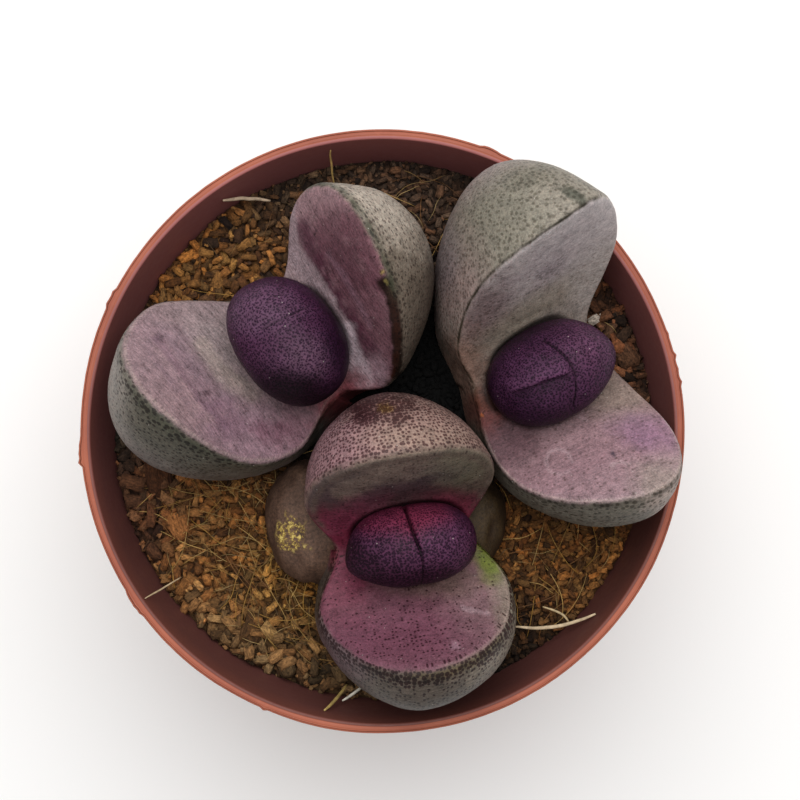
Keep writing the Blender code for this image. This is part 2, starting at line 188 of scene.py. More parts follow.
def noise(made, place, scale, detail=2.0, roughness=0.5):
    return addNode(made, "TexNoise", {"Vector": place, "Scale": scale, "Detail": detail,
                                      "Roughness": roughness}).outputs["Fac"]


def maths(made, operation, *values):
    return addNode(made, "Math", dict(enumerate(values)), operation=operation).outputs[0]


def stretched(made, vector, factors):
    return addNode(made, "VectorMath", {0: vector, 1: factors}, operation="MULTIPLY").outputs[0]


def brightened(made, colour, level):
    return addNode(made, "VectorMath", {0: colour, "Scale": level}, operation="SCALE").outputs[0]


def remapped(made, value, low, high, start=0.0, stop=1.0):
    return addNode(made, "MapRange", {"Value": value, "From Min": low, "From Max": high,
                                      "To Min": start, "To Max": stop}).outputs[0]


def mixed(made, share, first, second):
    return addNode(made, "Mix", {0: share, 6: first, 7: second}, data_type="RGBA").outputs[2]


# A ramp through stops of a place and a colour
def ramp(made, level, *stops):
    node = addNode(made, "ValToRGB", {0: level})
    elements = node.color_ramp.elements
    while len(elements) < len(stops):
        elements.new(0.5)
    for element, (place, code) in zip(elements, stops):
        element.position, element.color = place, (*linear(code), 1)
    return node.outputs["Color"]


# The end of a material: its surface, with a bump of a height, a strength and a distance
def surfaced(made, inputs, bump=None):
    if bump:
        relief = addNode(made, "Bump", dict(zip(("Height", "Strength", "Distance"), bump)))
        inputs["Normal"] = relief.outputs[0]
    surface = addNode(made, "BsdfPrincipled", inputs)
    addNode(made, "OutputMaterial", {"Surface": surface.outputs[0]})
    return made


# The nursery pot

pot = {
    "lip": 1.75,            # width of the rim seen from above
    "taper": 9.7,           # degrees that the wall leans out
    "wall": 1.0, "floorTop": 3.0, "floorUnder": 1.6, "footWidth": 3.2, "discRadius": 12.0,
    "band": 10.0,           # height of the stiffened band under the rim
    "drainHoles": 8, "drainRadius": 3.5, "drainCircle": 23.0, "drainSides": 32,
    "turns": 420,
    "grooves": ((0.52, 0.09), (1.12, 0.06)),    # distance in from the rim's edge, depth
    # flash left on the rim's outer edge: plan angle, width, how far it stands out
    "flash": ((69, 3.0, 0.3), (154, 3.6, 0.36), (184, 4.2, 0.5), (215, 4.6, 0.34), (247, 1.1, 0.3),
              (9.5, 0.9, 0.3), (12.3, 0.7, 0.28), (14.8, 0.9, 0.36), (19.0, 0.6, 0.2)),
    # the last two colours are the painted shade inside the wall and the paler painted light that it turns
    # to on the +Y side
    "skin": "a65c44", "deep": "96503c", "dust": "b8705a", "wallShade": "5c3632", "wallLight": "9c6060",
}


def innerRadius(z):
    return rimRadius - pot["lip"] - (rimHeight - z) * np.tan(np.radians(pot["taper"]))


# Each corner (r, z, size) becomes a quadratic curve that starts and ends its size away
def roundedOutline(corners, steps=6):
    place, size = corners[1:-1, :2], corners[1:-1, 2:]
    start = place + unit(corners[:-2, :2] - place) * size
    stop = place + unit(corners[2:, :2] - place) * size
    t = np.linspace(0, 1, steps)[:, None, None]
    curves = (1 - t) ** 2 * start + 2 * t * (1 - t) * place + t * t * stop
    line = np.concatenate([corners[:1, :2], curves.transpose(1, 0, 2).reshape(-1, 2),
                           corners[-1:, :2]])
    # further points on the straight runs keep the shading of each curve to itself
    along = np.concatenate([[0], np.cumsum(np.linalg.norm(np.diff(line, axis=0), axis=1))])
    places = np.unique(np.concatenate([along, np.arange(0, along[-1], 1.8)]).round(3))
    return np.stack([np.interp(places, along, line[:, k]) for k in (0, 1)], 1)


# The pot is its outline turned about z; a flash adds its height to r where the angle is within
# its width, on the rim's outer edge alone
def makePot(finish):
    foot = innerRadius(0) + pot["wall"]
    bandLow = rimHeight - pot["band"]
    lipIn, top = rimRadius - pot["lip"], rimHeight
    corners = [(pot["discRadius"] * 0.5, 0, 0.1), (pot["discRadius"], 0, 0.5),
               (pot["discRadius"] + 0.7, pot["floorUnder"], 0.5),
               (foot - pot["footWidth"] - 0.7, pot["floorUnder"], 0.6),
               (foot - pot["footWidth"], 0, 0.4), (foot - 0.2, 0, 0.9),
               (innerRadius(bandLow) + pot["wall"], bandLow, 0.5),
               (rimRadius - 0.3, bandLow + 0.2, 0.45), (rimRadius, top, 0.42)]
    for place, depth in pot["grooves"]:
        x = rimRadius - place
        corners += [(x + 0.14, top, 0.06), (x, top - depth, 0.07), (x - 0.14, top, 0.06)]
    corners += [(lipIn, top, 0.35), (innerRadius(pot["floorTop"]), pot["floorTop"], 1.6),
                (2, pot["floorTop"], 0.1)]
    outline = roundedOutline(np.array(corners, float))
    angle = np.linspace(0, 2 * np.pi, pot["turns"], endpoint=False)
    r, z = outline[:, :1] + 0 * angle, outline[:, 1:] + 0 * angle
    onEdge = ease(r, rimRadius - 0.9, rimRadius - 0.25) * ease(z, top - 2.2, top - 0.5)
    around = np.stack([np.cos(angle), np.sin(angle), 0 * angle], 1)
    for turn, width, height in pot["flash"]:
        away = np.abs((angle - np.radians(turn) + np.pi) % (2 * np.pi) - np.pi) * rimRadius
        ragged = 1 + 0.45 * lumps(around * rimRadius, 0.8, 3)
        r = r + onEdge * height * ragged * ease(width / 2 - away, -0.12, 0.25)
    wavy = 0.10 * lumps(around * rimRadius, 14, 1) + 0.03 * lumps(around * rimRadius, 1.5, 2)
    r = r + onEdge * wavy
    rows = np.stack([r * np.cos(angle), r * np.sin(angle), z], -1)
    body = shell("turned_pot", rows, (0, 0, 0), (0, 0, pot["floorTop"]), {})
    return drilled(body, finish)


# Drain holes: one boolean cuts all the round pegs on their circle
def drilled(body, finish):
    sides = pot["drainSides"]
    turn = np.linspace(0, 2 * np.pi, sides, endpoint=False)
    around = np.stack([np.cos(turn), np.sin(turn)], 1) * pot["drainRadius"]
    points, faces = [], []
    for k in range(pot["drainHoles"]):
        angle = 2 * np.pi * (k + 0.5) / pot["drainHoles"]
        centre = pot["drainCircle"] * np.array([np.cos(angle), np.sin(angle)])
        points += [np.column_stack([around + centre, np.full(sides, z)])
                   for z in (-1, pot["floorTop"] + 2)]
        low, high = 2 * sides * k, 2 * sides * k + sides
        faces += (ringFaces(2, sides) + low).tolist()
        faces += [list(range(high - 1, low - 1, -1)), list(range(high, high + sides))]
    pegs = makeMesh("pegs", np.concatenate(points), faces)
    cut = body.modifiers.new("Drain", "BOOLEAN")
    cut.operation, cut.solver, cut.object = "DIFFERENCE", "MANIFOLD", pegs
    evaluated = body.evaluated_get(bpy.context.evaluated_depsgraph_get())
    body.data = bpy.data.meshes.new_from_object(evaluated)
    body.modifiers.clear()
    bpy.data.objects.remove(pegs)
    return dress(body, finish, "pot")


# Injection-moulded polypropylene, terracotta coloured: a satin skin with a faint orange peel from
# the mould and dull scuffs. Inside the wall a dark coat is painted shade, paler on the +Y side as painted
# light
def potPlastic():
    made = newMaterial("mouldedPolypropylene")
    place = objectPlace(made)
    axes = addNode(made, "SeparateXYZ", {0: place}).outputs
    scuff = noise(made, place, 1000 / 1.6, 6.0, 0.7)
    cloudy = noise(made, place, 1000 / 9.0, 4.0)
    tone = ramp(made, cloudy, (0.32, pot["deep"]), (0.68, pot["skin"]))
    colour = mixed(made, remapped(made, scuff, 0.56, 0.8, 0, 0.55), tone, pot["dust"])
    # the painted shade inside the wall starts below the rim, is strongest towards the mix, and is paler
    # on the +Y side as painted light; it lies only inside the wall's middle surface, a cone, and above
    # the floor
    wallShade = remapped(made, axes["Z"], (rimHeight - 0.4) * mm, (rimHeight - 5) * mm, 0.8, 0.97)
    plan = stretched(made, place, (1, 1, 0))
    radius = addNode(made, "VectorMath", {0: plan}, operation="LENGTH").outputs["Value"]
    middle = maths(made, "MULTIPLY_ADD", axes["Z"], np.tan(np.radians(pot["taper"])),
                   (innerRadius(0) + pot["wall"] / 2) * mm)
    within = maths(made, "LESS_THAN", radius, middle)
    above = maths(made, "GREATER_THAN", axes["Z"], (pot["floorUnder"] + pot["floorTop"]) / 2 * mm)
    inside = maths(made, "MULTIPLY", wallShade, maths(made, "MULTIPLY", within, above))
    wallShadeTone = mixed(made, remapped(made, axes["Y"], -20 * mm, 45 * mm), pot["wallShade"], pot["wallLight"])
    return surfaced(made, {"Base Color": mixed(made, inside, colour, wallShadeTone), "IOR": 1.49,
                           "Roughness": remapped(made, scuff, 0.35, 0.75, 0.5, 0.68),
                           "Specular IOR Level": 0.35},
                    (noise(made, place, 1000 / 0.5), 0.25, 0.00006))


# A stain in plan, an oval (place, half sizes) or a strip along a path (its points, half width), with
# its colour, its strength and the side that it is on. More may say its turn, how soft it ends, how
# uneven it is and how many dots it adds
def oval(at, size, code, amount, on=None, **more):
    return {"at": at, "size": size, "code": code, "amount": amount, "on": on, **more}


def strip(path, wide, code, amount, on=None, **more):
    return {"path": path, "wide": wide, "code": code, "amount": amount, "on": on, **more}


# The three heads, each an opened leaf pair with a younger pair in its cleft.
# at is the middle of the cleft's floor (z from the rim), yaw the plan angle from the second to the
# first leaf, lean and side how far the axis leans. Bulges move the skin: plan x and y, how far
# along each, and the spread. Each leaf has the length and half width of its face, where that is
# widest, how blunt its tip is, how far it opens and how full its back is, at the top and low down;
# then its colours, face from the cleft to the tip and back from the edge down, and the lines along
# its edge. dots says how many of them show on the face, on the back and near the edge, ink how dark
# they are on the face and on the back, and streak how streaky those two are
heads = {}
heads["front"] = {
    "at": (3.5, -19, 0.3), "yaw": 99, "lean": 7.4, "side": 4.3, "waist": 11.6,
    "bulges": ((-7, -40, 0.7, 0.6, 8), (21, -25, -0.6, -0.3, 6), (6, -46, 0, -0.6, 6),
               (17, -10, -0.4, 0.2, 4)),
    "leaves": (
        {"length": 31.2, "width": 16.6, "widest": 0.44, "blunt": 1.9, "open": 36.2, "flare": 0,
         "top": 0.49, "low": 0.42, "dish": 0.6, "arch": 3.8, "skew": 0.2, "slant": 0.005, "shift": 0.6,
         # the face's middle colours are darkened, painted shade on the face beside the young pair
         "face": ("5c1e2e", "42282a", "403234", "64564e"), "back": ("94786f", "8a7068", "5e4a46"),
         "edge": (("5c4c44", 0.3, 0.6, 0.6, 0, 1), ("8c7c6c", -0.2, 0.4, 0.4, 0.15, 0.6),
                  ("5a4a42", -1.6, 1.0, 0.6, 0.1, 0.9)),
         "dots": (0.3, 0.92, 1.2), "ink": (0.6, 0.85), "streak": (0.7, 0.5)},
        {"length": 29.4, "width": 16.9, "widest": 0.4, "blunt": 1.9, "open": 36.9, "flare": 15,
         "top": 0.45, "low": 0.46, "dish": 2.1, "arch": 1.3, "skew": 2, "slant": -0.065, "shift": 0,
         "face": ("6c4248", "68424c", "673f4c", "704c56"), "back": ("524840", "484039", "3e3732"),
         "edge": (("b09890", -0.4, 0.25, 0.25, 0.1, 0.5), ("2c1e18", 1.1, 0.9, 0.3, 0.3, 0.7)),
         "dots": (0.17, 0.6, 2.2), "ink": (0.9, 0.95), "streak": (0.5, 1.4)},
    ),
    "stains": (
        oval((-9, -3), (8, 8), "8a6470", 0.6, "back"),
        oval((6, -0.8), (9, 1.8), "948070", 0.4, "back"),
        oval((0.4, 4.6), (6.4, 2.6), "4a2426", 0.5, "back", dots=1.6, uneven=2.6),
        oval((-3.6, 3.2), (2.4, 1.6), "4a2028", 0.4, "back", dots=0.6),
        oval((0.7, 4.1), (1.3, 0.8), "80621e", 0.6, "back", soft=0.5, uneven=2),
        strip(((-6.5, -10), (-1, -7.2), (5, -5.6), (12, -5)), 1.5, "7c6a5e", 0.5, "face", uneven=2.5),
        oval((14.5, -5.5), (6, 4), "6c6652", 0.6, "face"),
        # painted shade below the ridge of the first leaf's face
        oval((10, -6.3), (4.5, 1.5), "40363a", 0.3, "face"),
        oval((-8.2, -18), (6, 4.5), "6b1b32", 0.95, turn=20),
        oval((-5, -14.2), (7, 2.6), "6f3146", 0.5, "face", turn=25),
        oval((13.5, -13.6), (6, 3), "6a2438", 0.75, "face", turn=-15),
        oval((-7.5, -25), (6, 7), "6c3444", 0.6, "face"),
        oval((-5.5, -24.5), (2.2, 3.4), "6a1f3a", 0.5, "face", turn=30),
        oval((19, -27.5), (8, 8), "7a6062", 0.7, "face"),
        oval((9, -25.6), (7, 2.4), "6d584e", 0.6, "face"),
        oval((2, -35), (9, 4), "643848", 0.4, "face"),
        oval((4, -34.5), (11, 4.4), "6c4050", 0.25, "face", dots=0.3),
        oval((15.8, -30.3), (2.2, 0.4), "c0a8ae", 0.25, "face", turn=-12, soft=0.7, uneven=3),
        oval((12.2, -35.3), (0.9, 0.6), "b494a0", 0.3, "face", soft=0.7, uneven=3),
        oval((21.5, -28), (2.4, 6), "8d8a72", 0.4),
        oval((18.4, -21.6), (2.4, 3.8), "5e6c1a", 0.85, turn=25),
        oval((20, -36), (7, 7), "7c7266", 0.75, "back"),
        oval((-8, -37), (6, 5), "665058", 0.6, "back"),
        strip(((5, -39), (10, -39.2), (15, -37.8), (19, -34.5)), 1.2, "4c4022", 0.6, "back"),
    ),
    "bud": {
        "half": (10.8, 7, 9), "off": (1.3, 0.5, 6.5), "turn": -2.3,
        "bulges": ((-5.2, -23.1, -1.2, -0.6, 4),), "skin": ("260a1a", "38162c", "442238"),
        "glow": ((0, 6.5), 3.6, "6e283e"),
        "parting": ((-0.9, 7.4), (-0.7, 5.4), (-0.1, 2.4), (0.4, 0.4), (0.6, -1.8), (0.3, -6.6)),
        "open": (1.0, 0.3),
        "stains": (
            strip(((-3, -14.6), (3, -13.2), (9, -13.6)), 2.6, "70283e", 0.6),
            strip(((-4, -19), (3, -20.4), (10, -19)), 2.6, "4c2a42", 0.5, dots=0.6),
            # painted shade along the young pair's south side, where the second leaf rises to it
            strip(((-5, -20.5), (-1, -23.8), (5, -25.4), (10, -24.4)), 2.4, "260a1a", 0.7, dots=0.6),
            oval((10, -18), (3.4, 3), "54304a", 0.6),
        ),
    },
}
heads["left"] = {
    "at": (-14, 14.4, -0.7), "yaw": 36.6, "lean": 6.6, "side": -0.4, "waist": 10.6,
    "bulges": ((-17, 29, 1.6, -0.3, 7), (-13, 42, -0.7, 1.1, 6), (9, 28, 1.0, 0.1, 8),
               (5, 13, -0.6, 0.3, 6), (-40, 22, -0.4, 0.7, 5)),
    "leaves": (
        {"length": 29.7, "width": 17, "widest": 0.47, "blunt": 1.9, "open": 44.7, "flare": 0, "top": 0.44,
         "low": 0.49, "dish": 1.3, "arch": 3, "skew": -4.8, "slant": -0.194, "shift": -1.5,
         "face": ("8c7678", "8c787a", "927478", "8c6a6e"), "back": ("6e6256", "584d43", "4c4138"),
         "edge": (("2c140c", 0.0, 0.7, 0.95, 0.03, 0.42), ("343626", 0.5, 0.8, 0.7, 0.4, 0.8)),
         "dots": (0.2, 0.85, 1.5), "ink": (0.6, 0.75), "streak": (1.1, 0.8)},
        {"length": 32.7, "width": 17.3, "widest": 0.48, "blunt": 1.96, "open": 39.9, "flare": 8,
         "top": 0.55, "low": 0.53, "dish": 2.1, "arch": 4.3, "skew": -3, "slant": -0.13, "shift": -2.4,
         "face": ("7a6868", "846e72", "886e72", "866e70"), "back": ("524c40", "716863", "5c514d"),
         "edge": (("3a3a2e", 0.7, 1.0, 0.4, 0, 1), ("a8988c", -0.7, 0.3, 0.25, 0, 1)),
         "dots": (0.12, 0.6, 1.8), "ink": (0.5, 0.9), "streak": (1.1, 0.6)},
    ),
    "stains": (
        oval((-10.2, 38.4), (5, 5), "907276", 0.8, "face"),
        strip(((-8.6, 32), (-6.4, 27.6), (-3.8, 22), (-1.0, 17.4), (1.2, 12)), 5.0, "633f48", 0.88,
              "face", soft=1.5),
        strip(((-8.2, 30.5), (-5.6, 25.4)), 2.4, "4c2834", 0.4, "face", uneven=2.5),
        strip(((-4.4, 34), (-1, 28.5), (0.6, 23.5)), 1.6, "643a46", 0.5, "face", uneven=2),
        oval((-1.6, 10.2), (3.6, 2.4), "826a72", 0.7, "face", turn=-60),
        strip(((-13.8, 34.6), (-11.4, 28.4), (-8.3, 22.6), (-5, 18.2), (-2.6, 14)), 1.4, "421a2c", 0.7,
              "face", uneven=2.2),
        strip(((-9, 30), (-5, 24), (-2, 18)), 0.5, "7a5c68", 0.45, "face", uneven=1.6),
        strip(((0.4, 24.6), (1.9, 21.2), (2.4, 17.9), (2.7, 13.2), (2.6, 9.5)), 0.9, "1c0e06", 0.95,
              soft=0.8, uneven=1.6),
        strip(((-16.4, 38), (-15.8, 31.8), (-13.3, 27.6), (-9.4, 21.8), (-6.5, 16.7)), 1.7, "907c80", 0.9,
              "face", soft=0.5),
        strip(((-6.5, 16.7), (-4.9, 11.9), (-3.5, 9.0)), 2.0, "a8969c", 0.9, "face", soft=0.7),
        oval((0, 39), (11, 6), "a3978a", 0.85, "back", turn=-38),
        oval((0.2, 26.3), (0.4, 0.35), "a8924c", 0.7, soft=0.8),
        oval((0.9, 24.7), (0.35, 0.3), "a09050", 0.6, soft=0.8),
        oval((-29.5, 15.5), (9, 4.5), "8a7d7b", 0.7, "face", turn=-50),
        oval((-38.5, 14), (7, 7), "866f74", 0.6, "face"),
        oval((-31.5, 10), (9, 3.4), "745c68", 0.5, "face", turn=-50, uneven=2),
        strip(((-37, 14), (-33, 9), (-29.5, 3), (-25, -1.5)), 1.0, "9a8080", 0.4, "face", uneven=2.5),
        strip(((-31, 15), (-27, 10), (-22, 6)), 1.2, "988a7e", 0.45, "face", uneven=2.5),
        oval((-26, 1.6), (3, 2), "745060", 0.5, "face", turn=-40, uneven=2.5),
        oval((-33, 20.5), (8, 2.6), "7b6869", 0.6, "face"),
        oval((-22, 0), (8, 5), "7f6470", 0.6, "face", turn=-10),
        strip(((-38, 16), (-33.8, 10.5), (-30.3, 5.4), (-26, 1)), 0.5, "644a58", 0.5, "face", uneven=2),
        strip(((-35, 18), (-31, 12.6), (-27.5, 7)), 0.4, "665256", 0.45, "face", uneven=2),
        oval((-12.5, 0.5), (6, 5), "76525c", 0.7, "face"),
        oval((-6.5, 5.5), (5, 5), "7a2c36", 0.8),
        oval((-29.3, 6.6), (0.8, 0.5), "3c2a30", 0.6, "face", soft=0.6),
        oval((-43.5, 10), (4, 9), "90867f", 0.75, "back", turn=-10),
        oval((-35, 0), (10, 4), "47443a", 0.7, "back", turn=-38, dots=0.4),
        strip(((-42.2, 13.8), (-39.8, 7.3), (-36.4, 2.2), (-31.6, -1.2), (-25.5, -4.2)), 1.4, "38382e",
              0.4, "back", dots=0.5),
        oval((-19.5, 0.4), (2.6, 1.7), "643a4a", 0.55, "face", turn=-20, uneven=2),
    ),
    "bud": {
        "half": (11.4, 8.7, 10.8), "off": (-1.6, 0.3, 9.2), "turn": -2,
        "bulges": ((-26.5, 22.5, -0.8, 0.4, 7),), "skin": ("20081a", "32162c", "44243c"),
        "glow": ((3, 0), 5, "4c3244"),
        "parting": ((-3.6, -1.2), (-3.4, 0.6), (-3.1, 2.6), (-2.9, 5.0), (-2.6, 6.8)),
        "open": (0.26, 0.12),
        "stains": (
            oval((-20, 20), (6, 3.4), "62465a", 0.6, turn=10),
            oval((-12.4, 12.6), (3.6, 3), "604656", 0.5, turn=-50),
            # painted shade: darker along the young pair's low south side, and on its east side in the
            # shadow of the first leaf
            oval((-14.5, 6.6), (8, 3.2), "16040f", 0.92, turn=-10, dots=0.3),
            oval((-6.6, 14.5), (6, 2.4), "220a20", 0.85, turn=-75),
        ),
    },
}
heads["right"] = {
    "at": (26.6, 11.8, -2.2), "yaw": 111.1, "lean": 12.9, "side": 8.3, "waist": 11.7,
    "bulges": ((40, 33, 1.4, 0, 7), (36, 23, -1.6, 0.5, 7), (22, 45, 0, -0.8, 8), (9, 24, 0.4, 0, 9),
               (49, 1, 0.4, 0.3, 6)),
    "leaves": (
        {"length": 39.8, "width": 14.7, "widest": 0.32, "blunt": 2.37, "open": 39.6, "flare": 0,
         "top": 0.54, "low": 0.45, "dish": 2, "arch": 3.2, "skew": 5.7, "slant": 0.093, "shift": 1.3,
         "face": ("7e7168", "92867e", "a89c9a", "bab0ae"), "back": ("8a8276", "7d766a", "867874"),
         "edge": (("2a2416", 0.1, 0.3, 0.9, 0.4, 1), ("a8a090", 0.0, 0.3, 0.4, 0, 0.4)),
         "dots": (0.15, 0.85, 1.0), "ink": (0.5, 0.62), "streak": (0.4, 0.2)},
        {"length": 35.9, "width": 14.3, "widest": 0.5, "blunt": 2.02, "open": 36.8, "flare": 1,
         "top": 0.42, "low": 0.39, "dish": 1.2, "arch": 2, "skew": 5.5, "slant": -0.012, "shift": -1.3,
         "face": ("725a58", "846a6c", "886a70", "8e767a"), "back": ("605a50", "686258", "50463c"),
         "edge": (("b8a49c", -0.4, 0.25, 0.35, 0.15, 0.9), ("2c2620", 0.5, 0.5, 0.6, 0, 0.9)),
         "dots": (0.25, 0.7, 1.3), "ink": (0.6, 0.85), "streak": (0.7, 0.9)},
    ),
    "stains": (
        oval((17, 19.2), (6, 4.4), "7a6464", 0.7, "face", turn=58),
        oval((30, 30), (10, 4), "a09498", 0.5, "face", turn=42),
        oval((27, 26), (3, 1.2), "5a4450", 0.25, "face", turn=35, dots=0.9, uneven=3),
        oval((17.2, 18.4), (4.6, 2.4), "5c4248", 0.25, "face", turn=60, dots=0.9, uneven=2.5),
        strip(((26.5, 22.3), (29.8, 22.9)), 0.3, "c4b8b2", 0.5, "face", uneven=1.5),
        oval((24, 19.4), (12, 2.2), "8b7f70", 0.7, "face", turn=36),
        oval((12.5, 25), (4.4, 9), "a08884", 0.75, "back"),
        oval((11, 30), (2, 5), "80747e", 0.5, "back"),
        oval((18, 34), (8, 6), "7a7668", 0.5, "back", turn=30),
        strip(((29.4, 38.8), (31.9, 36.5)), 0.7, "363c30", 0.7, "back", soft=1.0, dots=0.4, uneven=2),
        oval((24, 41), (4, 1.6), "5a564a", 0.5, "back", dots=0.3),
        oval((13, 9), (5, 7), "8b6a5c", 0.8),
        oval((21, -1.6), (6, 5.4), "50363c", 0.85, "face"),
        oval((17.5, 3.4), (3.4, 3.4), "64302a", 0.7),
        strip(((16.8, 6.8), (17.6, 4.8)), 1.3, "4c2816", 0.6),
        # painted contact shadow in the crevice beside the young pair
        strip(((18.3, 9.6), (18.1, 7.6), (18.5, 5.6), (19.6, 4)), 0.8, "1c0c06", 0.8, uneven=1.2),
        oval((48.5, -8), (5, 5), "bca8a0", 0.95, "back"),
        oval((35.7, 26.6), (4, 6), "b0a6a2", 0.5, "face"),
        oval((17.2, 2.8), (0.4, 0.25), "b86a34", 0.7, soft=0.6),
        oval((40, 6.5), (7, 4), "847468", 0.75, "face", turn=-25),
        oval((44.5, 0.3), (5, 3), "825e7c", 0.5, "face", turn=-15),
        strip(((32.1, -5), (31.5, -3.4), (29.9, -2.8), (28.3, -3.4), (27.7, -5), (28.3, -6.6),
               (29.9, -7.2), (31.5, -6.6)), 0.2, "c0a8ac", 0.22, "face", uneven=3),
        strip(((29.5, 1.5), (31, 2.6), (33, 2.8), (35, 2.0)), 0.2, "c0a8ac", 0.2, "face", uneven=3),
        strip(((38.4, -5.6), (39.6, -4.8), (41.2, -5.2)), 0.25, "c4b0b0", 0.25, "face", uneven=3),
        oval((38.9, -3.6), (0.42, 0.36), "342c38", 0.9, "face", soft=0.8),
        oval((47, -9), (5, 4), "8f8178", 0.7),
    ),
    "bud": {
        "half": (10.8, 8.1, 9.9), "off": (0.1, -0.5, 7.9), "turn": 6.4,
        "bulges": ((39.5, 13.9, 0.8, 0.5, 4),), "skin": ("200a18", "32182e", "40223a"),
        "glow": ((7, 3), 5, "5c3a50"),
        "parting": ((0.6, 6.9), (1.4, 5.2), (2.0, 3.0), (2.0, 0.4), (1.1, -2.2), (-0.6, -5.4)),
        "open": (0.45, 0.4), "fold": ((-8.3, 2.0), (-3.1, 1.8), (1.0, 1.0)),
        "stains": (
            # painted shade along the young pair's south side
            strip(((22.5, 4.4), (27, 1.6), (33, 1.8)), 2.4, "240a20", 0.7),
        ),
    },
}

leafShape = {
    "columns": 171, "backRows": 58, "edgeRows": 10, "faceRows": 56,
    "edgeRound": 1.6,       # size of the rounding along a leaf's edge
    "edgeLow": 0.36,        # share of each half edge that runs up from the waist
    "cleftRound": 3.0, "neck": (7.0, 6.0), "neckDepth": 17.0, "rootLength": 12.0, "rootRadius": 3.5,
    "bulgeLow": 72.0, "bulgeHigh": 79.0,    # bulges fade in between these heights
    "squared": 0.9, "budFoot": (0.45, 1.1), "budColumns": 280, "budRows": 130,
    "creaseWidth": 0.7, "creaseDepth": 0.8, "lip": 0.2, "lipAway": 1.1, "lipWidth": 0.4,
    # the three colours below are painted shade in the crease round the young pair and in its parting, and
    # the painted light and painted shade beside its fold
    "creaseShade": "1c1014", "partingShade": "0a0206", "foldLightAndShade": ("6a4260", "180414"),
    "meeting": 2.0,         # half width of the seam at the waist where two leaves' colours meet
}


def headAxes(head):
    return turning(head["yaw"] - 90, 2) @ turning(head["lean"], 0) @ turning(head["side"], 1)


# From a head's own frame, x along its cleft, y towards its first leaf and z up its axis
def placed(head, points):
    x, y, z = head["at"]
    return points @ headAxes(head).T + np.array([x, y, rimHeight + z])


# Moves points in plan by bulges, each bell shaped
def bulged(head, points):
    rise = ease(points[..., 2], leafShape["bulgeLow"], leafShape["bulgeHigh"])
    moved = points.copy()
    for x, y, pushX, pushY, spread in head["bulges"]:
        away = (points[..., 0] - x) ** 2 + (points[..., 1] - y) ** 2
        share = rise * np.exp(-away / spread ** 2)
        moved[..., 0] += share * pushX
        moved[..., 1] += share * pushY
    return moved


# The edge of a leaf's face in its own plane, x along the cleft and r up the face. phi runs from 0
# at one end of the waist over the tip to pi. The low part swells from the waist to the widest
# place as a power of a sine, and the high part is a blunt half oval
def leafEdge(leaf, waist, phi):
    length, width = leaf["length"], leaf["width"]
    low = leafShape["edgeLow"]
    climb = np.minimum(phi, np.pi - phi) / (np.pi / 2)
    start = np.clip(climb / low, 0, 1)
    sweep = np.clip((climb - low) / (1 - low), 0, 1) * np.pi / 2
    power = 2 / leaf["blunt"]
    reach = leaf["widest"] * length
    highR = reach + (length - reach) * np.sin(sweep) ** power
    highX = width * np.abs(np.cos(sweep)) ** power
    lowX = waist + (width - waist) * np.sin(start * np.pi / 2) ** 1.5
    r = np.where(climb < low, reach * start, highR)
    x = np.where(climb < low, lowX, highX) * np.where(phi < np.pi / 2, 1, -1)
    up = r / length
    x = x + leaf["skew"] * up ** 2 + leaf["shift"] * np.sin(np.pi * up)
    return x, r * (1 + leaf["slant"] * x / width)


# A point of the face: a plane that opens from the head's axis, dished up its length by a sine and
# arched across its width by a square, with the cleft's floor rounded by sqrt(r^2 + c^2) - c
def facePoint(leaf, way, x, r):
    opening = np.radians(leaf["open"])
    up = r / leaf["length"]
    bow = leaf["dish"] * np.sin(np.pi * up) + leaf["arch"] * (x / leaf["width"]) ** 2 * up
    rise = np.sqrt(r * r + leafShape["cleftRound"] ** 2) - leafShape["cleftRound"]
    y = way * (r * np.sin(opening) + bow * np.cos(opening))
    return np.stack([x, y, rise * np.cos(opening) - bow * np.sin(opening)], -1)


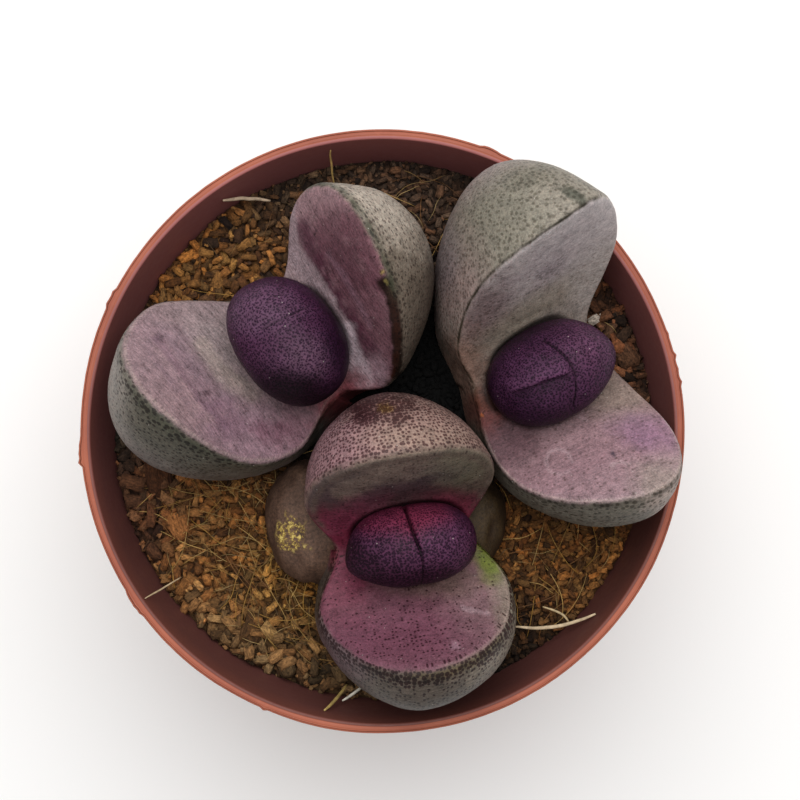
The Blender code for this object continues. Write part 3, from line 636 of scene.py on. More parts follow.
# Rows of one leaf: from the neck up the full back (a cubic curve), round the edge (a quadratic
# one about the sharp corner) and down the face, whose rows shrink towards the cleft's middle.
# Also gives x and r for every point, for the colouring
def leafRows(head, leaf, way, phi):
    shape = leafShape
    step, small = 1e-3, 0.05
    x, r = leafEdge(leaf, head["waist"], phi)
    edge = facePoint(leaf, way, x, r)
    before = facePoint(leaf, way, *leafEdge(leaf, head["waist"], phi - step))
    after = facePoint(leaf, way, *leafEdge(leaf, head["waist"], phi + step))
    across = facePoint(leaf, way, x + small, r) - facePoint(leaf, way, x - small, r)
    upward = facePoint(leaf, way, x, r + small) - facePoint(leaf, way, x, np.maximum(r - small, 0))
    normal = unit(np.cross(across, upward) * way)
    outward = np.cross(unit(after - before), normal) * way
    theta = (phi * way)[:, None]
    neckX, neckY = shape["neck"]
    neck = np.hstack([neckX * np.cos(theta), neckY * np.sin(theta), 0 * theta - shape["neckDepth"]])
    spread = np.hstack([np.cos(theta), np.sin(theta), 0 * theta - 0.12])
    flare = np.radians(leaf["flare"])
    reach = np.linalg.norm(edge - neck, axis=1)[:, None]
    high = edge + (outward * np.sin(flare) - normal * np.cos(flare)) * reach * leaf["top"]
    low = neck + spread * reach * leaf["low"]
    end = 1 - shape["edgeRound"] / (3 * leaf["top"] * reach)
    t = end * np.linspace(0, 1, shape["backRows"] + 1)[:, None, None]
    back = (1 - t) ** 3 * neck + 3 * t * (1 - t) ** 2 * low + 3 * t * t * (1 - t) * high + t ** 3 * edge
    shrink = 1 - shape["edgeRound"] / np.hypot(x, r)
    t = np.linspace(0, 1, shape["edgeRows"] + 1)[1:, None, None]
    stop = facePoint(leaf, way, x * shrink, r * shrink)
    corner = (1 - t) ** 2 * back[-1] + 2 * t * (1 - t) * edge + t * t * stop
    scale = shrink * (1 - np.arange(1, shape["faceRows"])[:, None] / shape["faceRows"])
    face = facePoint(leaf, way, x * scale, r * scale)
    scales = np.concatenate([np.ones((len(back) + len(corner), len(x))), scale])
    return np.concatenate([back, corner, face]), x * scales, r * scales


# Signed distance in plan from the young pair's outline at the same height: its half axes narrow
# with the cosine of the height's angle
def budDistance(bud, points):
    about = (points - np.array(bud["off"])) @ turning(bud["turn"], 2)
    a, b, c = bud["half"]
    squared = leafShape["squared"]
    sine = np.clip(np.abs(about[..., 2]) / c, 0, 0.999) ** (1 / squared)
    cosine = np.sqrt(1 - sine ** 2)
    below = about[..., 2] < 0
    narrowX = cosine ** np.where(below, leafShape["budFoot"][0], squared)
    narrowY = cosine ** np.where(below, leafShape["budFoot"][1], squared)
    power = 2 / squared
    share = ((np.abs(about[..., 0]) / (a * narrowX)) ** power
             + (np.abs(about[..., 1]) / (b * narrowY)) ** power)
    away = np.hypot(about[..., 0], about[..., 1])
    return away * (1 - np.maximum(share, 1e-6) ** (-1 / power))


# Mixes a colour into others by a weight, all as arrays
def tinted(colours, code, weight):
    return colours + (linear(code) - colours) * np.clip(weight, 0, 1)[..., None]


# One array where the share is 1 and the other where it is 0
def blend(one, two, share):
    share = share.reshape(share.shape + (1,) * (one.ndim - 2))
    return one * share + two * (1 - share)


# Colours along a line from 0 to 1 at even steps
def gradient(codes, t):
    table = np.array([linear(code) for code in codes])
    spread = np.clip(t, 0, 1) * (len(codes) - 1)
    low = np.clip(np.floor(spread).astype(int), 0, len(codes) - 2)
    share = (spread - low)[..., None]
    return table[low] * (1 - share) + table[low + 1] * share


# The skin's colour and its marks (how many dots show, how dark they are, how streaky it is) at each
# point. depth is the way along the surface from the edge, positive down the back
def paintLeaf(leaf, local, r, depth):
    rough = 0.6 * lumps(local, 3.0, 4) + 0.4 * lumps(local, 1.1, 5)
    fine = lumps(local, 0.8, 6)
    onFace = ease(-depth + 0.25 * fine, -0.5, 0.5)
    face = gradient(leaf["face"], r / leaf["length"] + 0.06 * rough)
    back = gradient(leaf["back"], depth / 24 + 0.06 * rough)
    skin = back + (face - back) * onFace[..., None]
    onFaceDots, onBackDots, nearEdge = leaf["dots"]
    chance = onBackDots + (onFaceDots - onBackDots) * onFace
    chance = np.maximum(chance, nearEdge * np.exp(-((depth - 1.1) / 1.6) ** 2) * (1 + 0.4 * rough))
    ink = leaf["ink"][1] + (leaf["ink"][0] - leaf["ink"][1]) * onFace
    streak = leaf["streak"][1] + (leaf["streak"][0] - leaf["streak"][1]) * onFace
    return skin, np.stack([chance, ink, streak], -1), onFace


# The lines along a leaf's edge: each has its colour, its place down the back, its width and strength,
# and the span of the edge that it covers, from 0 at one end of the waist to 1 at the other
def edgeLines(skin, leaf, local, depth, share):
    rough = 0.7 * lumps(local, 1.6, 23) + 0.5 * lumps(local, 0.5, 24)
    for code, place, width, amount, start, stop in leaf["edge"]:
        away = (depth - place + 0.35 * width * rough) / width
        span = ease(share, start - 0.03, start + 0.03) * ease(-share, -stop - 0.03, -stop + 0.03)
        skin = tinted(skin, code, amount * span * np.exp(-away ** 2) * (1 + 0.7 * rough))
    return skin


# Lays the stains over the skin: the distance in plan from an oval's middle or from a path, made
# uneven by noise, is 1 at the stain's rim
def stained(skin, marks, onFace, world, stains):
    uneven = 0.22 * lumps(world, 2.2, 21) + 0.16 * lumps(world, 0.7, 22)
    marks = marks.copy()
    for stain in stains:
        if "path" in stain:
            away = pathDistance(world[..., 0], world[..., 1], stain["path"]) / stain["wide"]
        else:
            turn = np.radians(stain.get("turn", 0))
            dx, dy = world[..., 0] - stain["at"][0], world[..., 1] - stain["at"][1]
            along, across = stain["size"]
            away = np.hypot((dx * np.cos(turn) + dy * np.sin(turn)) / along,
                            (dy * np.cos(turn) - dx * np.sin(turn)) / across)
        away = away + uneven * stain.get("uneven", 1)
        soft = stain.get("soft", 1.3)
        side = {"face": onFace, "back": 1 - onFace}.get(stain["on"], 1)
        share = ease(1 - away, -soft / 2, soft / 2) * side
        skin = tinted(skin, stain["code"], stain["amount"] * share)
        marks[..., 0] += stain.get("dots", 0) * share
    return skin, marks


def makeOuterLeaves(key, head, finish):
    shape = leafShape
    phi = np.linspace(0, np.pi, shape["columns"])
    first, second = head["leaves"]
    rows1, x1, r1 = leafRows(head, first, 1, phi)
    rows2, x2, r2 = leafRows(head, second, -1, phi[1:-1])
    rows, x, r = (np.concatenate([one, two[:, ::-1]], 1)
                  for one, two in ((rows1, rows2), (x1, x2), (r1, r2)))
    steps = np.linalg.norm(np.diff(rows, axis=0), axis=2)
    walked = np.concatenate([np.zeros((1, rows.shape[1])), np.cumsum(steps, 0)])
    edgeRow = shape["backRows"] + shape["edgeRows"] // 2
    depth = walked[edgeRow] - walked
    skins = [paintLeaf(leaf, rows, r, depth) for leaf in (first, second)]
    isFirst = ease(rows[..., 1], -shape["meeting"], shape["meeting"])
    # the dots' own flat coordinates: over the face its plane, down the back the way round the edge
    # and the depth. The change from one to the other and the seam stay free of dots
    rim = rows[edgeRow]
    around = np.cumsum(np.linalg.norm(np.roll(rim, -1, 0) - rim, axis=1)) + 0 * depth
    way = np.where(np.arange(rows.shape[1]) < len(phi), 1, -1)
    change, farOff = -0.35, 200
    isFlat = depth < change
    spots = np.stack([np.where(isFlat, x + farOff, around), np.where(isFlat, r * way, depth),
                      0 * depth], -1)
    seam = np.minimum(around, around[0, -1] - around)
    free = ease(np.abs(depth - change), 0.1, 0.3) * ease(seam, 0.4, 0.9)
    skin, marks, onFace = (blend(one, two, isFirst) for one, two in zip(*skins))
    skin, marks = stained(skin, marks, onFace, bulged(head, placed(head, rows)), head["stains"])
    marks[..., 0] *= free
    share = np.concatenate([phi, phi[-2:0:-1]]) / np.pi + 0 * depth
    skin = blend(*(edgeLines(skin, leaf, rows, depth, share) for leaf in (first, second)), isFirst)
    # a narrow crease runs round the young pair, where the cleft's skin turns down beside it, with
    # a low lip along it
    away = budDistance(head["bud"], rows)
    inside = depth < 0
    sunk = shape["creaseDepth"] * ease(-away, -shape["creaseWidth"], 0.1) * inside
    lip = np.exp(-((away - shape["lipAway"]) / shape["lipWidth"]) ** 2) * inside
    relief = 0.10 * lumps(rows, 5.0, 1) + 0.05 * lumps(rows, 1.6, 2) + shape["lip"] * lip
    normals = unit(np.cross(np.roll(rows, -1, 1) - np.roll(rows, 1, 1), np.gradient(rows, axis=0)))
    local = rows
    rows = rows + normals * relief[..., None] - np.array([0, 0, 1]) * sunk[..., None]
    # painted shade darkens the crease round the young pair
    skin = tinted(skin, shape["creaseShade"], 0.85 * ease(-away, -0.7, 0.0) * inside)
    # the root top: two rows in the neck's shape, which narrow to its end
    neckDepth, length, radius = shape["neckDepth"], shape["rootLength"], shape["rootRadius"]
    ring = local[0] / np.array([*shape["neck"], -neckDepth])
    root = [ring * np.array([size, size, 0]) - np.array([0, 0, neckDepth + drop])
            for size, drop in ((radius * 0.6, length), (radius, length * 0.7))]
    rows, local = np.concatenate([root, rows]), np.concatenate([root, local])
    ends = np.array([[0, 0, -neckDepth - length - 1], [0, 0, -shape["creaseDepth"]]])

    # the root's rows and the two ends take the marks of the neck and of the cleft
    def full(values):
        values = np.concatenate([values[:1], values[:1], values]).reshape(-1, 3)
        return np.concatenate([values, values[:1], values[-1:]])

    low, high = placed(head, ends)
    attributes = {"skin": opaque(full(skin)), "marks": full(marks), "spots": full(spots),
                  "place": np.concatenate([local.reshape(-1, 3), ends])}
    piece = shell(key + "_opened_pair", bulged(head, placed(head, rows)), low, high, attributes)
    return dress(piece, finish, key + "_outer_leaves")


# Distance from points (x, y) to a line of straight pieces
def pathDistance(x, y, path):
    best = np.full(x.shape, 99.0)
    for (ax, ay), (bx, by) in zip(path, path[1:]):
        dx, dy = bx - ax, by - ay
        t = np.clip(((x - ax) * dx + (y - ay) * dy) / (dx ** 2 + dy ** 2), 0, 1)
        best = np.minimum(best, np.hypot(x - ax - t * dx, y - ay - t * dy))
    return best


# A slightly squared egg: x, y and z are powers of the cosines and sines of two angles. The lower
# half narrows faster across the cleft than along it
def eggRows(half, columns, rowCount, foot):
    u = np.linspace(0, 2 * np.pi, columns, endpoint=False)
    v = np.linspace(-np.pi / 2, np.pi / 2, rowCount + 1)[1:-1]
    v, u = np.meshgrid(v, u, indexing="ij")
    s = leafShape["squared"]
    narrowX, narrowY = (np.cos(v) ** np.where(v < 0, power, s) for power in foot)
    return np.stack([half[0] * narrowX * np.sign(np.cos(u)) * np.abs(np.cos(u)) ** s,
                     half[1] * narrowY * np.sign(np.sin(u)) * np.abs(np.sin(u)) ** s,
                     half[2] * np.sign(v) * np.abs(np.sin(v)) ** s], -1)


# The young pair: a squared egg with the parting pressed in as a bell-shaped groove in a wider
# valley, so that the two leaves round off towards it. A fold is a step, with painted light on the
# skin on one side of it and painted shade on the other, both fading with the distance
def makeYoungPair(key, head, finish):
    bud = head["bud"]
    rows = eggRows(bud["half"], leafShape["budColumns"], leafShape["budRows"], leafShape["budFoot"])
    x, y = rows[..., 0], rows[..., 1]
    path = np.array(bud["parting"])
    away = pathDistance(x, y, path)
    onTop = ease(rows[..., 2], -2, 0)
    # the groove is deeper at the path's first end than at its last
    along = np.clip((y - path[-1, 1]) / (path[0, 1] - path[-1, 1]), 0, 1)
    deep = bud["open"][1] + (bud["open"][0] - bud["open"][1]) * ease(along, 0.3, 0.8)
    slit = np.exp(-(away / (0.15 + 0.12 * deep)) ** 2) * onTop
    valley = np.exp(-(away / 1.8) ** 2) * onTop
    relief = 0.08 * lumps(rows, 3.2, 7) + 0.04 * lumps(rows, 0.9, 8)
    height = rows[..., 2] / bud["half"][2]
    rough = 0.7 * lumps(rows, 3.4, 9) + 0.5 * lumps(rows, 1.3, 10)
    # painted light and shade: the skin runs from its dark colour low down to its light one on top, and
    # the patch below is a paler spot of painted light on the lit top
    skin = gradient(bud["skin"], ease(height + 0.16 * rough, -0.6, 0.8))
    (lightX, lightY), spread, code = bud["glow"]
    skin = tinted(skin, code, 0.7 * np.exp(-((x - lightX) ** 2 + (y - lightY) ** 2) / spread ** 2))
    if "fold" in bud:
        foldX, foldY = np.array(bud["fold"]).T
        side = y - np.interp(x, foldX, foldY)
        reach = ease(x, foldX[0] - 1, foldX[0] + 1) * ease(-x, -foldX[-1] - 0.6, -foldX[-1] + 0.6)
        reach = reach * onTop
        relief = relief + 0.25 * reach * np.tanh(side / 0.25) * np.exp(-(side / 2.2) ** 2)
        # painted light on one side of the fold and painted shade on the other
        pale, foldShade = leafShape["foldLightAndShade"]
        skin = tinted(skin, pale, 0.6 * reach * (side > 0) * np.exp(-side / 1.2))
        skin = tinted(skin, foldShade, 0.75 * reach * (side <= 0) * np.exp(side / 1.8))
    turned = turning(bud["turn"], 2).T
    shape = bulged(bud, placed(head, rows @ turned + np.array(bud["off"])))
    skin, marks = stained(skin, np.ones(x.shape + (3,)) * (1, 0.85, 0.25), 1.0, shape, bud["stains"])
    # painted shade darkens the parting, the more where its groove is deeper
    skin = tinted(skin, leafShape["partingShade"], np.minimum(0.35 + 1.2 * deep, 0.97) * slit)
    # the dots' own flat coordinates: the way down from the top, in the direction seen from above
    steps = np.linalg.norm(np.diff(rows[::-1], axis=0), axis=2)
    down = np.cumsum(np.concatenate([np.hypot(x, y)[-1:], steps]), 0)[::-1]
    spots = unit(np.stack([x, y, 0 * x], -1)) * down[..., None]
    outwards = unit(rows / np.array(bud["half"]) ** 2)
    rows = rows + outwards * (relief - deep * slit - 0.22 * valley)[..., None]
    ends = np.array([[0, 0, -bud["half"][2]], [0, 0, rows[-1, :, 2].mean()]])
    attributes = {"skin": opaque(withEnds(skin)), "marks": withEnds(marks),
                  "spots": np.concatenate([spots.reshape(-1, 3), spots[0, :1], ends[1:] * 0]),
                  "place": np.concatenate([rows.reshape(-1, 3), ends])}
    ends, rows = (bulged(bud, placed(head, part @ turned + np.array(bud["off"])))
                  for part in (ends, rows))
    piece = shell(key + "_young_pair", rows, *ends, attributes)
    return dress(piece, finish, key + "_inner_leaves")


# How each head's skin is marked: spacing, radius and soft rim of the dots in mm, how much of the
# light a dot's colour keeps in red, green and blue, how uneven the dots are and their places,
# roughness, how far the pattern is drawn out, and how much the skin shines
skinKinds = {
    "front": {"cell": 0.75, "dot": 0.25, "soft": 0.06, "ink": (0.19, 0.1, 0.12), "wobble": 0.1,
              "random": 0.65, "rough": 0.5, "pull": (1, 1, 0), "shine": 0.3},
    "left": {"cell": 0.74, "dot": 0.17, "soft": 0.05, "ink": (0.22, 0.18, 0.18), "wobble": 0.16,
             "random": 0.9, "rough": 0.52, "pull": (0.6, 1, 0), "shine": 0.3},
    "right": {"cell": 1.05, "dot": 0.3, "soft": 0.1, "ink": (0.3, 0.28, 0.24), "wobble": 0.14,
              "random": 0.9, "rough": 0.55, "pull": (1, 1, 0), "shine": 0.3},
    "young": {"cell": 0.48, "dot": 0.16, "soft": 0.06, "ink": (0.14, 0.05, 0.18), "wobble": 0.24,
              "random": 0.9, "rough": 0.5, "pull": (1, 1, 0), "shine": 0.15},
}
bloomGrain = 0.42       # how strong the grain of the wax is on all of them


# Living leaf skin: a waxy bloom over water-filled tissue, so it is matt and grainy with a soft
# glow under it. Dots are small dark windows: discs round the middles of uneven cells. A cell shows
# its dot where its own chance is below the painted share, and dots grow where the share is high.
# The grain is coarser than the real wax, so that it shows
def leafSkin(name, kind):
    made = newMaterial(name)
    place, spots = painted(made, "place", "Vector"), painted(made, "spots", "Vector")
    marks = addNode(made, "SeparateXYZ", {0: painted(made, "marks", "Vector")}).outputs
    wobble = addNode(made, "TexNoise", {"Vector": place, "Scale": 1 / 0.5}).outputs["Color"]
    shifted = addNode(made, "VectorMath", {0: wobble, 1: (kind["wobble"] * 2,) * 3, 2: spots},
                      operation="MULTIPLY_ADD").outputs[0]
    cells = addNode(made, "TexVoronoi", {
        "Vector": stretched(made, shifted, kind["pull"]), "Scale": 1 / kind["cell"],
        "Randomness": kind["random"]}, voronoi_dimensions="2D").outputs
    own = addNode(made, "SeparateColor", {0: cells["Color"]}).outputs
    reach, soft = kind["dot"] / kind["cell"], kind["soft"] / kind["cell"]
    size = maths(made, "MULTIPLY", remapped(made, own["Green"], 0, 1, 0.75 * reach, 1.2 * reach),
                 maths(made, "MULTIPLY_ADD", marks["X"], 0.45, 0.6))
    inner = maths(made, "SUBTRACT", size, cells["Distance"])
    shown = maths(made, "LESS_THAN", own["Red"], marks["X"])
    mask = maths(made, "MULTIPLY", remapped(made, inner, -soft, soft), shown)
    # mottling in three sizes: patches, grains of bloom, and lines along the cleft
    patch = noise(made, place, 1 / 1.8, 4.0, 0.6)
    fine = noise(made, place, 1 / 0.36, 3.0, 0.8)
    lines = noise(made, stretched(made, spots, (0.13, 1, 1)), 1 / 0.45, 5.0, 0.8)
    lined = maths(made, "MULTIPLY", maths(made, "SUBTRACT", lines, 0.5), marks["Z"])
    level = maths(made, "MULTIPLY_ADD", patch, 1.2, 0.4)
    level = maths(made, "MULTIPLY_ADD", fine, bloomGrain * 5, level)
    level = maths(made, "MULTIPLY_ADD", lined, 2.2, level)
    level = maths(made, "SUBTRACT", level, bloomGrain * 2.5)
    toned = brightened(made, painted(made, "skin", "Color"), level)
    colour = mixed(made, maths(made, "MULTIPLY", mask, marks["Y"]), toned,
                   stretched(made, toned, kind["ink"]))
    # dust: a grain in one of a few dozen cells
    specks = addNode(made, "TexVoronoi", {"Vector": place, "Scale": 1 / 0.8}).outputs
    rare = addNode(made, "SeparateColor", {0: specks["Color"]}).outputs["Green"]
    dust = maths(made, "MULTIPLY", maths(made, "GREATER_THAN", rare, 0.965),
                 maths(made, "LESS_THAN", specks["Distance"], 0.14))
    colour = mixed(made, maths(made, "MULTIPLY", dust, 0.5), colour, "b8b0a8")
    rough = remapped(made, patch, 0.3, 0.7, kind["rough"] - 0.06, kind["rough"] + 0.1)
    return surfaced(made, {
        "Base Color": colour, "Roughness": rough, "IOR": 1.42, "Specular IOR Level": kind["shine"],
        "Subsurface Weight": 0.1, "Subsurface Radius": (1.0, 0.45, 0.4), "Subsurface Scale": 0.0012},
        (maths(made, "MULTIPLY_ADD", mask, -0.5, fine), 0.5, 0.00012))


# Last year's pair of the front head: two shrunken lobes and the collar that joins them

oldLeaves = {
    "lobes": (
        {"at": (-11.5, -16.2, -10.0), "half": (9.5, 11.0, 9.0), "yaw": 10,
         "skin": ("2c1e18", "4c362a", "5c4436")},
        {"at": (14.3, -16.4, -10.0), "half": (7.5, 9.5, 8.0), "yaw": -8,
         "skin": ("1a1008", "2e1e0e", "3c2c16")},
        {"at": (2.5, -17.5, -20.0), "half": (17.0, 12.0, 5.5), "yaw": 0,
         "skin": ("3a2c26", "4c3a32", "584840")},
    ),
    "scar": (-16.0, -17.9, 3.0),      # x, y and radius of the gold scab on the first lobe
    "scarLow": 70,                    # it ends below this height
    "wrinkle": 0.28, "grid": (120, 60),
}


# Shrunken lobes: squared eggs with wrinkles, which are noise drawn out along y
def makeOldLeaves(finish):
    points, faces, skins, scars, base = [], [], [], [], 0
    scarX, scarY, scarSize = oldLeaves["scar"]
    for number, lobe in enumerate(oldLeaves["lobes"]):
        half = np.array(lobe["half"])
        rows = eggRows(half, *oldLeaves["grid"], (leafShape["squared"],) * 2)
        outwards = unit(rows / half ** 2)
        wrinkles = lumps(rows * np.array([1, 0.35, 0.6]), 1.3, 12 + number)
        folds = lumps(rows, 5.0, 15 + number)
        rows = rows + outwards * (oldLeaves["wrinkle"] * wrinkles + 0.5 * folds)[..., None]
        # painted light and shade: the skin is paler on the wrinkles' ridges and towards the top, and
        # darker in their hollows and low down
        skin = gradient(lobe["skin"], 0.5 + 0.35 * wrinkles + 0.4 * rows[..., 2] / half[2])
        flat = np.concatenate([rows.reshape(-1, 3), [[0, 0, -half[2]], [0, 0, rows[-1, :, 2].mean()]]])
        x, y, z = lobe["at"]
        flat = flat @ turning(lobe["yaw"], 2).T + np.array([x, y, rimHeight + z])
        away = np.hypot(flat[:, 0] - scarX, flat[:, 1] - scarY) / scarSize
        crust = ease(1.1 - away + 0.6 * lumps(flat, 1.2, 20), 0, 0.5)
        points.append(flat)
        skins.append(withEnds(skin))
        scars.append(crust * (flat[:, 2] > oldLeaves["scarLow"]) * (number == 0))
        faces += shellFaces(*rows.shape[:2], base)
        base += len(flat)
    piece = makeMesh("front_shrunken_pair", np.concatenate(points), faces,
                     {"skin": opaque(np.concatenate(skins)), "scar": np.concatenate(scars)})
    return dress(piece, finish, "front_old_leaves")


# Drying leaf skin: leathery, wrinkled and dull, with a scab of dried sap that has broken into
# bright yellow crumbs
def oldSkin():
    made = newMaterial("dryingLeafSkin")
    place = objectPlace(made)
    fine = noise(made, place, 1000 / 0.5, 4.0, 0.7)
    crumbs = noise(made, place, 1000 / 0.7, 5.0, 0.75)
    toned = brightened(made, painted(made, "skin", "Color"), remapped(made, fine, 0.3, 0.7, 0.45, 1.6))
    gold = ramp(made, crumbs, (0.44, "4a3218"), (0.53, "947628"), (0.62, "d8c070"))
    amount = maths(made, "MULTIPLY", remapped(made, crumbs, 0.47, 0.56), painted(made, "scar", "Fac"))
    return surfaced(made, {"Base Color": mixed(made, amount, toned, gold), "Roughness": 0.62,
                           "IOR": 1.42}, (crumbs, 0.6, 0.0004))


# The growing mix

# What the mix looks like about a place in plan: how far that spreads, its pale and its deep colour,
# how chunky the chips are and how many fibres lie there
def region(at, spread, pale, deep, chunk, fibre):
    return {"at": at, "spread": spread, "pale": pale, "deep": deep, "chunk": chunk, "fibre": fibre}


mix = {
    "drop": 12.0, "relief": 0.7, "gap": 0.3, "rings": 130, "turns": 420,
    "chips": 2300, "chipHalf": (0.6, 1.5), "barks": 80, "barkHalf": (1.4, 3.1),
    "crumbs": 3600, "crumbHalf": (0.22, 0.5),
    "fibres": 460, "fibreRadius": (0.035, 0.08), "hairs": 300, "hairRadius": (0.035, 0.06),
    "seed": 12,
    "ragged": 0.26,         # how far a block's corners lie off their places, over its half size
    "perlite": ((38.0, 19.8, 73.6, 1.2), (39.4, 20.6, 73.4, 0.7), (36.8, 19.0, 73.3, 0.6)),
    "perliteTone": "b4a698",
    "parts": (
        region((-31, 30), 11, "a87238", "2c1c16", 1.2, 0.1),
        region((-15, 43), 9, "70533a", "281c16", 0.7, 0.5),
        region((10, 43), 12, "684c38", "241a14", 0.7, 0.4),
        region((-45, 10), 8, "4c4436", "181410", 0.5, 0.8),
        region((-30, -22), 10, "b47a40", "422a18", 0.9, 1.5),
        region((-28, -38), 10, "9c744a", "40301e", 1.55, 0.7),
        region((-43, -16), 7, "84583a", "34201a", 1.9, 0.5),
        region((-20, -28), 7, "a0702e", "442c14", 0.6, 1.8),
        region((30, -24), 12, "a87038", "3e2412", 0.8, 0.5),
        region((25, -37), 9, "262019", "0a0807", 0.6, 1.8),
        region((42, 10), 9, "84563a", "1e1610", 1.3, 0.8),
        # the gap between the heads is near black: painted shade of the deep hollow there
        region((8, 5), 15, "040302", "000000", 0.6, -0.6),
    ),
}


# Relief of the mix: three crossed waves, as the solid has, with crumbs of two sizes on them, and
# a dip next to the pot's wall
def mixHeight(x, y):
    waves = (np.sin(x / 6.1 + 0.7) * np.cos(y / 7.3) + 0.6 * np.sin(x / 3.3 - y / 4.1)
             + 0.4 * np.sin(y / 2.9 + x / 5.3))
    flat = np.stack([x, y, 0 * x], -1)
    crumbs = 0.55 * lumps(flat, 2.1, 31) + 0.3 * lumps(flat, 0.9, 32)
    edge = innerRadius(rimHeight - mix["drop"])
    return (rimHeight - mix["drop"] + mix["relief"] * waves + crumbs
            - 1.3 * ease(np.hypot(x, y), edge - 3, edge))


# Weights of the parts of the mix at each place, bell shaped and adding up to 1
def partWeights(x, y):
    weights = [np.exp(-((x - p["at"][0]) ** 2 + (y - p["at"][1]) ** 2) / p["spread"] ** 2) + 1e-6
               for p in mix["parts"]]
    return np.array(weights) / np.sum(weights, 0)


def blended(weights, key):
    if isinstance(mix["parts"][0][key], str):
        return np.tensordot(weights.T, np.array([linear(p[key]) for p in mix["parts"]]), 1)
    return np.tensordot(weights.T, np.array([p[key] for p in mix["parts"]], float), 1)


def makeBed(finish):
    angle = np.linspace(0, 2 * np.pi, mix["turns"], endpoint=False)
    floor = pot["floorTop"] + mix["gap"]
    corner, top = floor + 1.5, rimHeight - mix["drop"]
    edge = innerRadius(top) - mix["gap"]
    sides = [(innerRadius(pot["floorTop"]) - 1.8, floor), (innerRadius(corner) - mix["gap"], corner)]
    rings = edge * (1 - np.arange(mix["rings"]) / mix["rings"])
    radius = np.concatenate([[r for r, _ in sides], rings])[:, None] + 0 * angle
    x, y = radius * np.cos(angle), radius * np.sin(angle)
    z = mixHeight(x, y)
    z[:2] = np.array([[z] for _, z in sides])
    rows = np.stack([x, y, z], -1)
    weights = partWeights(x.ravel(), y.ravel())
    flat = rows.reshape(-1, 3)
    share = np.clip(0.42 + 0.5 * lumps(flat, 1.4, 33), 0, 1)[:, None]
    # painted shade: the bed between the chips takes half of the deep colour and a third of the pale one,
    # darker than the chips on it
    tint = blended(weights, "deep") * (1 - share) * 0.5 + blended(weights, "pale") * share * 0.35
    tint = np.concatenate([tint, tint[:1], tint[-1:]])
    middle = float(mixHeight(np.zeros(1), np.zeros(1))[0])
    bed = shell("mix_bed", rows, (0, 0, floor), (0, 0, middle), {"tint": opaque(tint)})
    return dress(bed, finish, "soil")


# A block with rounded corners: the surface of a cube of a few points a side, pulled towards a ball
def roundBlock(side):
    grid = np.array(list(np.ndindex(side, side, side)), float) * 2 / (side - 1) - 1
    keep = np.abs(grid).max(1) > 0.999
    number = -np.ones(side ** 3, int)
    number[keep] = np.arange(keep.sum())
    faces = []
    for axis in range(3):
        for end in (0, side - 1):
            for a, b in np.ndindex(side - 1, side - 1):
                quad = []
                for da, db in ((0, 0), (1, 0), (1, 1), (0, 1)):
                    place = [0, 0, 0]
                    place[axis] = end
                    place[(axis + 1) % 3], place[(axis + 2) % 3] = a + da, b + db
                    quad.append(number[(place[0] * side + place[1]) * side + place[2]])
                faces.append(quad if end else quad[::-1])
    points = grid[keep]
    return points / np.linalg.norm(points, axis=1, keepdims=True) ** 0.3, np.array(faces)


# A coarser block of eight corners and six face middles
def roughBlock():
    corners = np.array(list(np.ndindex(2, 2, 2)), float) * 2 - 1
    faces = [(0, 1, 3, 2), (4, 6, 7, 5), (0, 4, 5, 1), (2, 3, 7, 6), (0, 2, 6, 4), (1, 5, 7, 3)]
    return corners * 0.8, np.array(faces)


# Two coordinates of each block's corners, turned by the block's own angle
def turned(u, v, angle):
    c, s = np.cos(angle)[:, None], np.sin(angle)[:, None]
    return u * c - v * s, u * s + v * c


# Many blocks in one mesh. Each has its own half sizes, turns and place, and every corner is a
# little off its place, so that no two are alike
def scatteredBlocks(name, rng, block, place, half, tilt, colours, finish):
    points, faces = block
    count = len(place)
    yaw = rng.uniform(0, 2 * np.pi, count)
    tiltX, tiltY = rng.normal(0, tilt, (2, count))
    off = rng.uniform(-mix["ragged"], mix["ragged"], (count, len(points), 3))
    local = points[None] * half[:, None] * (1 + off)
    x, y, z = local[..., 0], local[..., 1], local[..., 2]
    y, z = turned(y, z, tiltX)
    z, x = turned(z, x, tiltY)
    x, y = turned(x, y, yaw)
    world = np.stack([x, y, z], -1) + place[:, None]
    allFaces = (faces[None] + np.arange(count)[:, None, None] * len(points)).reshape(-1, 4)
    attributes = {"tint": opaque(np.repeat(colours, len(points), 0)),
                  "grain": (local + rng.uniform(-50, 50, (count, 1, 3))).reshape(-1, 3)}
    piece = makeMesh(name, world.reshape(-1, 3), allFaces.tolist(), attributes)
    return dress(piece, finish, "soil")


# Random places in plan on a round disc, and how far out each is
def roundPlaces(rng, count, edge):
    radius, angle = edge * np.sqrt(rng.random(count)), rng.uniform(0, 2 * np.pi, count)
    return radius * np.cos(angle), radius * np.sin(angle), radius


